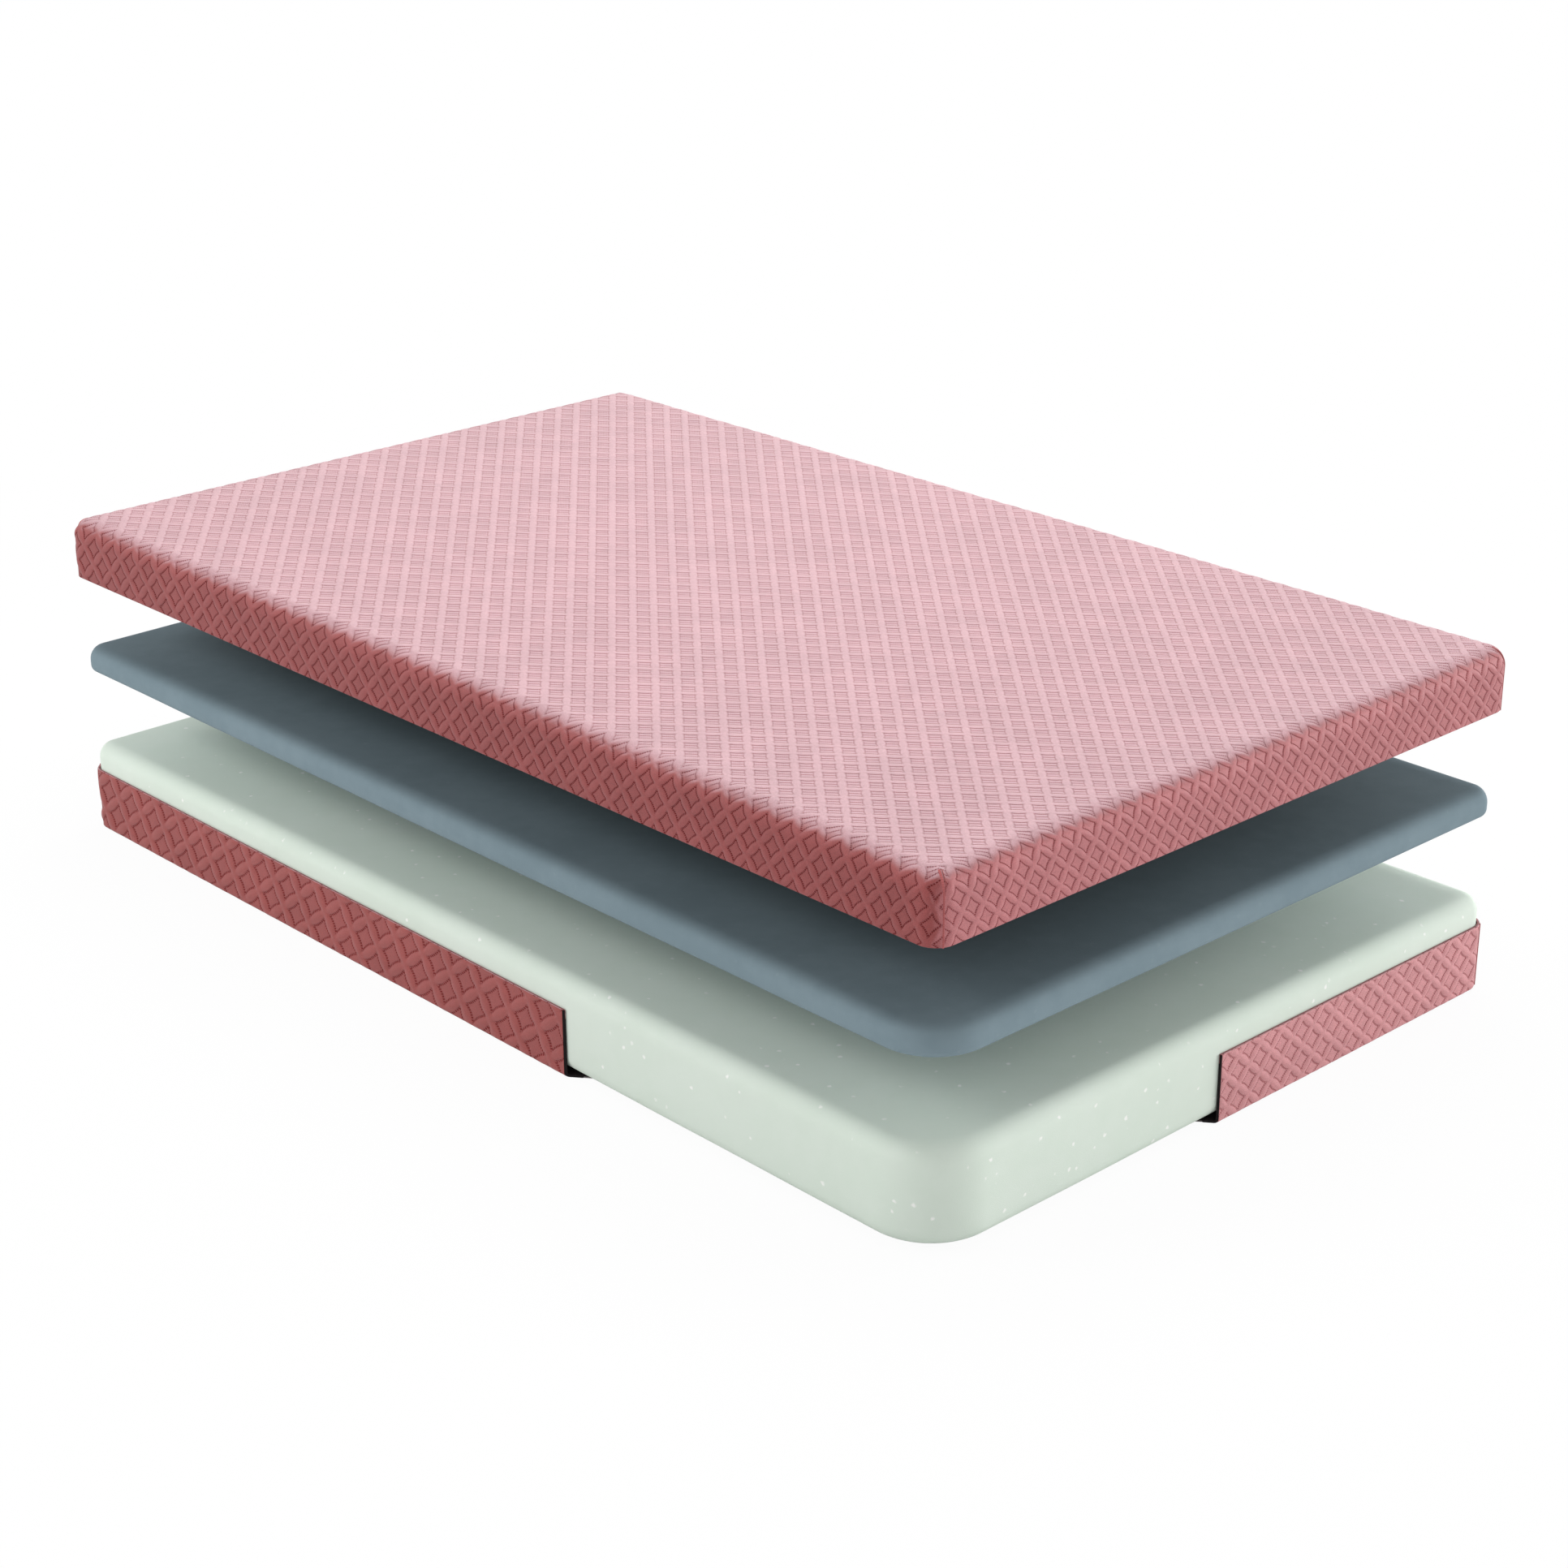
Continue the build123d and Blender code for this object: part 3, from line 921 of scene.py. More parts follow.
@dataclass(frozen=True)
class KnitFinish(Finish):
    """Soft knitted jacquard with smooth bands and short stitches round its hollows.

    band and hollow are its colours on the long walls; the hollow's is a little darker, a painted shade in
    the sunk hollows. end and upper are its paler ones on the short walls and on top, painted light for the
    light that falls there. stitch is the share of the colour that is left on a stitch: the stitch's own
    mark, deepened by painted shade in its sunk holes. The pairs give a value's range:
    painted_light_end_facing and top_facing the parts of the normal over which those colours come in, tone
    and speck the brightness of its uneven patches and of its yarn, rough its roughness, and gloss from bands
    to stitches.
    """

    band: Colour
    hollow: Colour
    stitch: Colour
    # end and upper are paler colours, painted light for the light on the short walls and on the top.
    end: Colour
    upper: Colour = (0.455, 0.271, 0.292)
    painted_light_end_facing: Pair = (0.55, 0.95)
    top_facing: Pair = (0.55, 0.985)
    tone: Pair = (0.92, 1.02)
    speck: Pair = (0.85, 1.15)
    rough: Pair = (0.48, 0.64)
    gloss: Pair = (0.28, 0.04)
    gloss_tint: Colour = (1.0, 0.95, 0.985)
    sheen: float = 0.12
    sheen_tint: Colour = (1.0, 0.91, 0.96)
    mottle: float = 14.0
    fuzz: float = 900.0
    fuzz_height: float = 0.18
    line_depth: float = 0.22
    stitch_and_painted_shade_depth: float = 0.8

    def colour(
        self, graph: Graph, coordinates: Outputs, band: Socket, above: Socket, fuzz: Socket
    ) -> Socket:
        """The knit's colour without its stitches.

        Args:
            graph: The material's graph.
            coordinates: The piece's own coordinates and its normal.
            band: 1 on the bands and 0 in the hollows.
            above: 1 on top, where the paler top colour of painted light comes in.
            fuzz: Fine noise of the yarn.

        Returns:
            The colour.
        """
        patches = {"Vector": coordinates["Object"], "Scale": self.mottle}
        tone = graph.scaled(graph.group(SharedEffects.MOTTLE, patches)[0], *self.tone)
        speck = graph.scaled(graph.between(fuzz, 0.3, 0.7), *self.speck)
        painted_light_sideways = graph.math("ABSOLUTE", graph.split(coordinates["Normal"])[0])
        # Painted shade: the hollows take a slightly darker colour than the bands.
        colour = graph.blend(band, opaque(self.hollow), opaque(self.band))
        # Painted light: the short walls and the top take paler colours for the light that falls on them.
        colour = graph.blend(graph.between(painted_light_sideways, *self.painted_light_end_facing), colour, opaque(self.end))
        colour = graph.blend(above, colour, opaque(self.upper))
        shade = graph.math("MULTIPLY", tone, speck)
        level = graph.add("ShaderNodeCombineColor", dict.fromkeys(range(3), shade)).outputs[0]
        return graph.blend(1.0, colour, level, "MULTIPLY")

    def inputs(self, graph: Graph) -> dict[str, object]:
        """Wires the knit.

        Args:
            graph: The material's graph.

        Returns:
            The shader's inputs, by name.
        """
        marks = graph.group(SharedEffects.LATTICE, {"Steps": graph.pattern()})
        coordinates = graph.coordinates()
        fuzz = graph.noise(coordinates["Object"], self.fuzz, detail=1.0)
        # above brings in the paler top colour, which is painted light, and picks the rows of stitches on
        # top.
        above = graph.between(graph.split(coordinates["Normal"])[2], *self.top_facing)
        colour = self.colour(graph, coordinates, marks["Band"], above, fuzz)
        stitch = graph.choose(above, marks["Stitch"], marks["Rows"])
        # The stitch colour darkens the stitches: their own mark, deepened by painted shade in their sunk
        # holes.
        sewn = graph.blend(1.0, colour, opaque(self.stitch), "MULTIPLY")
        sunk = graph.math("MULTIPLY_ADD", marks["Line"], self.line_depth, stitch)
        height = graph.math("SUBTRACT", graph.math("MULTIPLY", fuzz, self.fuzz_height), sunk)
        return {
            "Base Color": graph.blend(graph.math("MULTIPLY", stitch, self.stitch_and_painted_shade_depth), colour, sewn),
            "Roughness": graph.scaled(fuzz, *self.rough),
            "Specular IOR Level": graph.scaled(stitch, *self.gloss),
            "Specular Tint": opaque(self.gloss_tint),
            "Sheen Weight": graph.scaled(stitch, self.sheen, 0.0),
            "Sheen Roughness": 0.5,
            "Sheen Tint": opaque(self.sheen_tint),
            "Normal": graph.bump(height, strength=0.8, distance=0.0012),
        }


@dataclass(frozen=True)
class FoamFinish(Finish):
    """Cut foam with small pores, an uneven tone and pale flecks; top_share_left_by_painted_shade is the
    share of its colour that a painted shade leaves on top.
    """

    body: Colour
    shade: Colour
    fleck: Colour
    fleck_share: float
    mottle: float = 6.0
    top_share_left_by_painted_shade: float = 1.0
    top_facing: Pair = (0.5, 0.95)
    cells: float = 900.0
    flecks: float = 42.0
    rough: Pair = (0.8, 0.92)
    patch_height: float = 0.6

    def inputs(self, graph: Graph) -> dict[str, object]:
        """Wires the foam.

        Args:
            graph: The material's graph.

        Returns:
            The shader's inputs, by name.
        """
        coordinates = graph.coordinates()
        spot = coordinates["Object"]
        tone = graph.group(SharedEffects.MOTTLE, {"Vector": spot, "Scale": self.mottle})[0]
        holes = {"Vector": spot, "Cells": self.cells, "Flecks": self.flecks}
        pores = graph.group(SharedEffects.PORES, holes)
        colour = graph.blend(tone, opaque(self.shade), opaque(self.body))
        flecks = graph.math("MULTIPLY", pores["Fleck"], self.fleck_share)
        colour = graph.blend(flecks, colour, opaque(self.fleck))
        # Painted shade: below 1, top_share_left_by_painted_shade darkens the top towards black.
        if self.top_share_left_by_painted_shade < 1:
            above = graph.between(graph.split(coordinates["Normal"])[2], *self.top_facing)
            above = graph.math("MULTIPLY", above, 1 - self.top_share_left_by_painted_shade)
            colour = graph.blend(above, colour, opaque((0.0, 0.0, 0.0)))
        height = graph.math("MULTIPLY_ADD", tone, self.patch_height, pores["Pore"])
        return {
            "Base Color": colour,
            "Roughness": graph.scaled(pores["Pore"], *self.rough),
            "Specular IOR Level": 0.2,
            "Normal": graph.bump(height, strength=0.14, distance=0.0006),
        }


@dataclass(frozen=True)
class ClothFinish(Finish):
    """Plain woven cloth with slanted ribs."""

    rib: Colour
    valley: Colour
    threads: float
    rough: Pair = (0.8, 0.9)
    mottle: float = 9.0
    dark_tone: Colour = (0.8, 0.8, 0.8)

    def inputs(self, graph: Graph) -> dict[str, object]:
        """Wires the cloth.

        Args:
            graph: The material's graph.

        Returns:
            The shader's inputs, by name.
        """
        spot = graph.coordinates()["Object"]
        rib = graph.group(SharedEffects.TWILL, {"Vector": spot, "Threads": self.threads})[0]
        tone = graph.group(SharedEffects.MOTTLE, {"Vector": spot, "Scale": self.mottle})[0]
        colour = graph.blend(rib, opaque(self.valley), opaque(self.rib))
        darker = graph.blend(1.0, colour, opaque(self.dark_tone), "MULTIPLY")
        return {
            "Base Color": graph.blend(tone, darker, colour),
            "Roughness": graph.scaled(rib, *self.rough),
            "Specular IOR Level": 0.2,
            "Normal": graph.bump(rib, strength=0.6, distance=0.0004),
        }


@dataclass(frozen=True)
class SeamFinish(Finish):
    """Ridge of doubled cloth with a groove beside it, whose colour there is a painted shade, and small
    stitches across it.
    """

    ridge: Colour
    groove: Colour
    groove_place: float = 0.0013
    stitch_pitch: float = 0.003
    stitch_tone: float = 0.85
    painted_groove_shade_fade: Pair = (0.0012, 0.0005)
    rough: Pair = (0.7, 0.9)
    fuzz: float = 900.0

    def inputs(self, graph: Graph) -> dict[str, object]:
        """Wires the seam.

        Args:
            graph: The material's graph.

        Returns:
            The shader's inputs, by name.
        """
        across, along, _ = graph.split(graph.pattern())
        # Painted shade: the groove beside the ridge takes the near-black groove colour.
        painted_groove_shade = graph.between(graph.distance(across, self.groove_place), *self.painted_groove_shade_fade)
        wave = graph.math("SINE", graph.math("MULTIPLY", along, math.tau / self.stitch_pitch))
        stitch = graph.between(wave, -0.2, 0.9)
        fuzz = graph.noise(graph.coordinates()["Object"], self.fuzz, detail=1.0)
        colour = graph.blend(stitch, dimmed(self.ridge, self.stitch_tone), opaque(self.ridge))
        return {
            "Base Color": graph.blend(painted_groove_shade, colour, opaque(self.groove)),
            "Roughness": graph.scaled(fuzz, *self.rough),
            "Specular IOR Level": 0.2,
            "Normal": graph.bump(stitch, strength=0.4, distance=0.0004),
        }


@dataclass(frozen=True)
class HardFinish(Finish):
    """Brushed metal or moulded plastic of the zip."""

    colour: Colour
    metallic: float
    rough: Pair
    worn_tone: float = 0.7
    wear: float = 240.0
    brushing: float = 2600.0
    brush_stretch: Colour = (1.0, 1.0, 0.06)

    def inputs(self, graph: Graph) -> dict[str, object]:
        """Wires the metal or plastic.

        Args:
            graph: The material's graph.

        Returns:
            The shader's inputs, by name.
        """
        spot = graph.coordinates()["Object"]
        stretched = graph.add("ShaderNodeMapping", {"Vector": spot, "Scale": self.brush_stretch}).outputs[0]
        brushed = graph.noise(stretched, self.brushing, detail=2.0)
        worn = graph.group(SharedEffects.MOTTLE, {"Vector": spot, "Scale": self.wear})[0]
        return {
            "Base Color": graph.blend(worn, dimmed(self.colour, self.worn_tone), opaque(self.colour)),
            "Roughness": graph.scaled(brushed, *self.rough),
            "Metallic": self.metallic,
            "Normal": graph.bump(brushed, strength=0.15, distance=0.0001),
        }


def seen(graph: Graph) -> Socket:
    """Tells what is seen from what only lights.

    Args:
        graph: A material's or a world's graph.

    Returns:
        1 for rays from the camera, also in metal and through glass, and 0 for the rest.
    """
    path = graph.add("ShaderNodeLightPath").outputs
    straight = graph.math("MAXIMUM", path["Is Camera Ray"], path["Is Glossy Ray"])
    return graph.math("MAXIMUM", straight, path["Is Transmission Ray"])


@dataclass(frozen=True)
class FloorFinish(Finish):
    """White floor that keeps a little of the shadow on it, and less further out."""

    tone: Colour = (0.80, 0.80, 0.80)
    shadow: float = 0.05
    shadow_end: Pair = (1.3, 3.0)

    def inputs(self, graph: Graph) -> dict[str, object]:
        """Values for the shader's inputs, by name."""
        return {"Base Color": opaque(self.tone), "Roughness": 0.9}

    def surface(self, graph: Graph, shader: Socket) -> Socket:
        """Mixes the floor with plain white where it is seen.

        Args:
            graph: The material's graph.
            shader: The Principled shader.

        Returns:
            What the floor shows.
        """
        glow = graph.add("ShaderNodeEmission", {"Strength": 1.0}).outputs[0]
        spot = graph.coordinates()["Object"]
        away = graph.add("ShaderNodeVectorMath", {0: spot}, operation="LENGTH").outputs["Value"]
        far = graph.between(away, *self.shadow_end)
        white = graph.scaled(far, 1 - self.shadow, 1.0)
        share = graph.math("MULTIPLY", seen(graph), white)
        return graph.add("ShaderNodeMixShader", {0: share, 1: shader, 2: glow}).outputs[0]


class Finishes:
    """Every material of the mattress, made once."""

    def __init__(self) -> None:
        """Builds the shared effects and the materials."""
        SharedEffects()
        # In both knits hollow is a little darker than band, a painted shade in the sunk hollows; stitch is
        # deepened by painted shade in the stitch holes; end and the default upper colour are paler, painted
        # light on the short walls and the top.
        self.cover_knit = KnitFinish(
            name="rose_cover_knit",
            band=(0.287, 0.064, 0.062),
            hollow=(0.272, 0.059, 0.057),
            stitch=(0.5, 0.12, 0.15),
            end=(0.475, 0.165, 0.172),
        ).material()
        # The tray's knit is the cover's fabric made paler, painted light for the brighter light on the tray.
        self.tray_knit_painted_paler = KnitFinish(
            name="rose_tray_knit_painted_paler",
            band=(0.345, 0.080, 0.073),
            hollow=(0.328, 0.074, 0.068),
            stitch=(0.62, 0.33, 0.36),
            end=(0.64, 0.285, 0.295),
        ).material()
        self.memory_foam = FoamFinish(
            name="blue_grey_foam",
            body=(0.210, 0.280, 0.316),
            shade=(0.186, 0.252, 0.286),
            fleck=(0.30, 0.37, 0.40),
            fleck_share=0.12,
            # A painted shade darkens its top, for the shade under the cover.
            top_share_left_by_painted_shade=0.8,
        ).material()
        self.core_foam = FoamFinish(
            name="pale_green_foam",
            body=(0.735, 0.815, 0.735),
            shade=(0.705, 0.795, 0.705),
            fleck=(0.96, 0.975, 0.94),
            fleck_share=0.9,
            mottle=4.0,
        ).material()
        self.lining = ClothFinish(
            name="black_lining", rib=(0.010, 0.006, 0.007), valley=(0.004, 0.002, 0.002), threads=420.0
        ).material()
        self.base_cloth = ClothFinish(
            name="base_twill", rib=(0.30, 0.27, 0.27), valley=(0.19, 0.165, 0.165), threads=300.0
        ).material()
        self.zip_tape = ClothFinish(
            name="rose_zip_tape", rib=(0.42, 0.15, 0.155), valley=(0.28, 0.085, 0.09), threads=700.0
        ).material()
        # groove is a painted shade beside the seam's ridge.
        self.seam = SeamFinish(
            name="rose_seam", ridge=(0.44, 0.12, 0.12), groove=(0.03, 0.008, 0.009)
        ).material()
        self.zip_coil = HardFinish(
            name="rose_zip_coil", colour=(0.40, 0.15, 0.155), metallic=0.0, rough=(0.30, 0.55)
        ).material()
        self.zip_metal = HardFinish(
            name="nickel_zip", colour=(0.66, 0.64, 0.62), metallic=1.0, rough=(0.22, 0.47)
        ).material()


class Bench:
    """Modelling moves on the one object that is selected."""

    @staticmethod
    @contextmanager
    def editing() -> Iterator[None]:
        """Stays in edit mode while a with block lasts."""
        bpy.ops.object.mode_set(mode="EDIT")
        yield
        bpy.ops.object.mode_set(mode="OBJECT")

    @staticmethod
    def take(*pieces: Piece) -> None:
        """Selects only some pieces, with the first one active.

        Args:
            pieces: The pieces, or none.
        """
        bpy.ops.object.select_all(action="DESELECT")
        for piece in pieces:
            piece.select_set(True)
        if pieces:
            bpy.context.view_layer.objects.active = pieces[0]

    @classmethod
    def cube(cls, name: str, low: tuple[float, ...], high: tuple[float, ...]) -> Piece:
        """Adds a cube between two corners and applies its place.

        Args:
            name: The piece's name.
            low: Lowest corner.
            high: Highest corner.

        Returns:
            The object, at the origin.
        """
        cls.take()
        middle = [(a + b) / 2 for a, b in zip(low, high)]
        size = [b - a for a, b in zip(low, high)]
        bpy.ops.mesh.primitive_cube_add(size=1.0, location=middle, scale=size)
        piece = bpy.context.object
        piece.name = name
        bpy.ops.object.transform_apply(location=True, rotation=True, scale=True)
        return piece

    @classmethod
    def select(cls, piece: Piece, kind: str, test: Test) -> None:
        """Selects edges or faces by the places of their points.

        Args:
            piece: The object.
            kind: EDGE or FACE.
            test: Says whether to select one, from its points.
        """
        with cls.editing():
            bpy.ops.mesh.select_mode(type=kind)
            bpy.ops.mesh.select_all(action="DESELECT")
        mesh = piece.data
        for item in mesh.edges if kind == "EDGE" else mesh.polygons:
            item.select = test([mesh.vertices[v].co for v in item.vertices])

    @classmethod
    def bevel(cls, piece: Piece, test: Test, radius: float, segments: int) -> None:
        """Rounds the edges that pass a test.

        Args:
            piece: The object.
            test: Says whether to round an edge, from its two ends.
            radius: The rounding's radius.
            segments: Facets in it.
        """
        cls.select(piece, "EDGE", test)
        with cls.editing():
            bpy.ops.mesh.bevel(offset=radius, segments=segments, affect="EDGES", clamp_overlap=False)

    @classmethod
    def remove(cls, piece: Piece, test: Test) -> None:
        """Deletes the faces that pass a test.

        Args:
            piece: The object.
            test: Says whether to delete a face, from its points.
        """
        cls.select(piece, "FACE", test)
        with cls.editing():
            bpy.ops.mesh.delete(type="FACE")

    @classmethod
    def close(cls) -> None:
        """Fills the holes that a cut has left."""
        with cls.editing():
            bpy.ops.mesh.select_all(action="SELECT")
            bpy.ops.mesh.fill_holes(sides=0)
            bpy.ops.mesh.normals_make_consistent(inside=False)

    @staticmethod
    def thicken(piece: Piece, thickness: float) -> None:
        """Gives a surface a wall on its inner side.

        Args:
            piece: The object.
            thickness: The wall's thickness.
        """
        modifier = piece.modifiers.new("wall", "SOLIDIFY")
        modifier.thickness = thickness
        modifier.offset = -1.0
        bpy.ops.object.modifier_apply(modifier=modifier.name)

    @staticmethod
    def finish(piece: Piece, material: Material, degrees: float = 40.0) -> None:
        """Smooths the shading and gives the piece its material.

        Args:
            piece: The object.
            material: Its material.
            degrees: The angle up to which it is smoothed.
        """
        piece.select_set(True)
        bpy.context.view_layer.objects.active = piece
        bpy.ops.object.shade_smooth_by_angle(angle=math.radians(degrees))
        piece.data.materials.append(material)


def lies_at(points: list[Vector], axis: int, place: float) -> bool:
    """True if all points lie at a place along an axis."""
    return all(abs(p[axis] - place) < CLOSE for p in points)


def upright(points: list[Vector]) -> bool:
    """True if an edge stands upright."""
    return math.hypot(points[0].x - points[1].x, points[0].y - points[1].y) < TINY


def lengthwise(points: list[Vector]) -> bool:
    """True if an edge has some length along X."""
    return abs(points[0].x - points[1].x) > TINY


def dress(piece: Piece, body: str, nodes: list[str]) -> Piece:
    """Says what a piece rides on, and hides the nodes that it stands for.

    Args:
        piece: The object.
        body: The body that it moves with.
        nodes: The nodes that it stands for.

    Returns:
        The object.
    """
    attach(piece, body)
    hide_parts(*nodes)
    log.info("%s rides on %s, %d faces", piece.name, body, len(piece.data.polygons))
    return piece


@dataclass
class TopCover:
    """Knitted upper half of the cover, whose inner face is lined."""

    finishes: Finishes
    low: Vector = field(default_factory=lambda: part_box("top_cover_fabric")[0])
    high: Vector = field(default_factory=lambda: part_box("top_cover_fabric")[1])
    lattice: Lattice = Lattice((0.0245, 0.0199), (0.0245, -0.0211), taper=(0.143, 0.07))
    end_drift: Pair = (-0.29, 0.975)
    side_drift: Pair = (0.15, 0.77)
    edge_radius: float = 0.031
    face_step: float = 0.0029
    hem_fade: float = 0.006
    hem_share: float = 0.7
    top_share: float = 0.45
    edge_shares: tuple[float, ...] = (0.25, 0.6, 0.9)

    def section(self) -> Section:
        """From the edge of the flat top over the side, round the hem and up the inner face.

        Returns:
            The section, with less of the lattice's height on top than on the side.
        """
        skirt = self.high.z - self.low.z - self.edge_radius - KNIT / 2
        stretch = 90.0 / len(self.edge_shares)
        rows = round(self.edge_radius * math.radians(stretch) / self.face_step)
        section = Section(0.0, self.high.z, 0.0, relief=self.top_share)
        for share in self.edge_shares:
            section.bend(self.edge_radius, stretch, rows, self.top_share + share * (1 - self.top_share))
        plain = skirt - self.hem_fade
        section.forward(plain, round(plain / self.face_step), relief=1.0)
        section.forward(self.hem_fade, 2, relief=self.hem_share)
        section.bend(KNIT / 2, 180.0, 6)
        section.forward(skirt, 3, finish=1)
        section.bend(self.edge_radius - KNIT, -90.0, 6, finish=1)
        return section

    def build(self) -> None:
        """Builds the knit and dresses it."""
        half = (self.high.x - self.edge_radius, self.high.y - self.edge_radius)
        steps = tuple(round(2 * h / self.face_step) for h in half)
        drift = {wall: self.end_drift if wall.is_end else self.side_drift for wall in WALLS}
        draft = SoftDraft(dict.fromkeys(WALLS, self.lattice), drift=drift)
        top = draft.table(half, steps, self.high.z, share=self.top_share)
        draft.table(half, (1, 1), self.high.z - KNIT, up=False, finish=1)
        columns = Columns.all_round(half, steps)
        draft.sweep(columns, self.section(), first_row=draft.rim(top, half, columns.foot))
        knit = draft.make("top_cover_knit", [self.finishes.cover_knit, self.finishes.lining])
        dress(knit, "cover", ["top_cover_fabric"])


@dataclass
class FoamSlab:
    """A layer of cut foam with soft edges, whose near corner is rounder than the three others.

    ripples gives the bearing in radians and the length of each wave in its hand-cut surface.
    """

    name: str
    node: str
    body: str
    slot: str
    material: Material
    corner_radius: float
    upper_round: float
    lower_round: float
    covered_radius: float = 0.030
    face_step: float = 0.012
    flat_steps: int = 6
    round_steps: int = 9
    corner_steps: int = 72
    ripple: float = 0.0006
    ripples: tuple[Pair, ...] = ((0.4, 0.61), (1.3, 0.37), (2.5, 0.23))
    ripple_climb: float = 0.8

    def build(self) -> None:
        """Builds the slab and dresses it."""
        low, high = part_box(self.node)
        half = (high.x - self.corner_radius, high.y - self.corner_radius)
        counts = tuple(round(2 * h / self.face_step) for h in half)
        draft = SoftDraft(dict.fromkeys(WALLS, Lattice.plain()))
        top = draft.table(half, counts, high.z)
        bottom = draft.table(half, counts, low.z, up=False)
        section = Section(0.0, high.z, 0.0)
        section.forward(self.corner_radius - self.upper_round, self.flat_steps)
        section.bend(self.upper_round, 90.0, self.round_steps)
        side = high.z - low.z - self.upper_round - self.lower_round
        section.forward(side, max(1, round(side / self.face_step)))
        section.bend(self.lower_round, 90.0, self.round_steps)
        section.forward(self.corner_radius - self.lower_round, self.flat_steps)
        columns = Columns.all_round(half, counts, self.corner_steps)
        first, last = (draft.rim(numbers, half, columns.foot) for numbers in (top, bottom))
        draft.sweep(columns, section, first, last, warp=self.square_up)
        piece = draft.make(self.name, [self.material])
        self.soften(piece)
        dress(piece, self.body, [self.node])

    def square_up(self, points: np.ndarray) -> np.ndarray:
        """Fills out the three corners that the cover holds, with the rounding of their edges kept.

        Args:
            points: Points of the slab's rim.

        Returns:
            The points moved.
        """
        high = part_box(self.node)[1]
        moved = points.copy()
        excess = self.corner_radius - self.covered_radius
        edge = max(self.upper_round, self.lower_round)
        for side in ((1, 1), (-1, 1), (-1, -1)):
            middle = np.array([s * (h - self.corner_radius) for s, h in zip(side, high)])
            out = (points[..., :2] - middle) * np.array(side)
            reach = np.hypot(out[..., 0], out[..., 1])
            mine = (out.min(-1) > TINY) & (reach > TINY)
            way = out / np.maximum(reach, TINY)[..., None]
            both = excess * way.sum(-1)
            arc = both + np.sqrt(np.maximum(both**2 - 2 * excess**2 + self.covered_radius**2, 0))
            flat = self.corner_radius / way.max(-1, initial=TINY)
            on_flat = (flat * way.min(-1) < excess)[..., None]
            rim = way * np.where(on_flat[..., 0], flat, arc)[..., None]
            ahead = np.where(way == way.max(-1)[..., None], 1.0, 0.0)
            outward = np.where(on_flat, ahead, (rim - excess) / self.covered_radius)
            rim -= outward * np.clip(self.corner_radius - reach, 0, edge)[..., None]
            share = np.clip(reach / (self.corner_radius - edge), 0, 1)[..., None]
            moved[..., :2] = np.where(mine[..., None], middle + rim * share * np.array(side), moved[..., :2])
        return moved

    def soften(self, piece: Piece) -> None:
        """Draws the surface in a little, unevenly, as hand-cut foam is.

        Args:
            piece: The slab.
        """
        mesh = piece.data
        points, normals = (np.empty(3 * len(mesh.vertices), np.float32) for _ in range(2))
        mesh.vertices.foreach_get("co", points)
        mesh.vertices.foreach_get("normal", normals)
        points = points.reshape(-1, 3).astype(float)
        wave = np.zeros(len(points))
        for turn, length in self.ripples:
            way = np.array([math.cos(turn), math.sin(turn), self.ripple_climb])
            wave += np.sin(points @ way * math.tau / length + turn)
        depth = self.ripple * (1 - wave / len(self.ripples)) / 2
        points -= normals.reshape(-1, 3) * depth[:, None]
        mesh.vertices.foreach_set("co", points.astype(np.float32).ravel())
        mesh.update()


@dataclass(frozen=True)
class CornerCut:
    """Upright plane that takes the near corner off the tray: a point on it and the way out across it."""

    point: Vector
    normal: Vector

    def cut(self) -> None:
        """Cuts away what lies beyond the plane."""
        with Bench.editing():
            bpy.ops.mesh.select_all(action="SELECT")
            bpy.ops.mesh.bisect(plane_co=self.point, plane_no=self.normal, clear_outer=True)

    def beyond(self, spot: Vector) -> float:
        """How far a place lies beyond the plane."""
        return (spot - self.point).dot(self.normal)

    def legs(self, low: Vector, high: Vector) -> Pair:
        """What the plane takes off the front and the right side of a box.

        Args:
            low: The box's lowest corner.
            high: Its highest corner.

        Returns:
            The lengths along X and Y.
        """
        front = self.point.x - self.normal.y / self.normal.x * (low.y - self.point.y)
        right = self.point.y - self.normal.x / self.normal.y * (high.x - self.point.x)
        return high.x - front, right - low.y


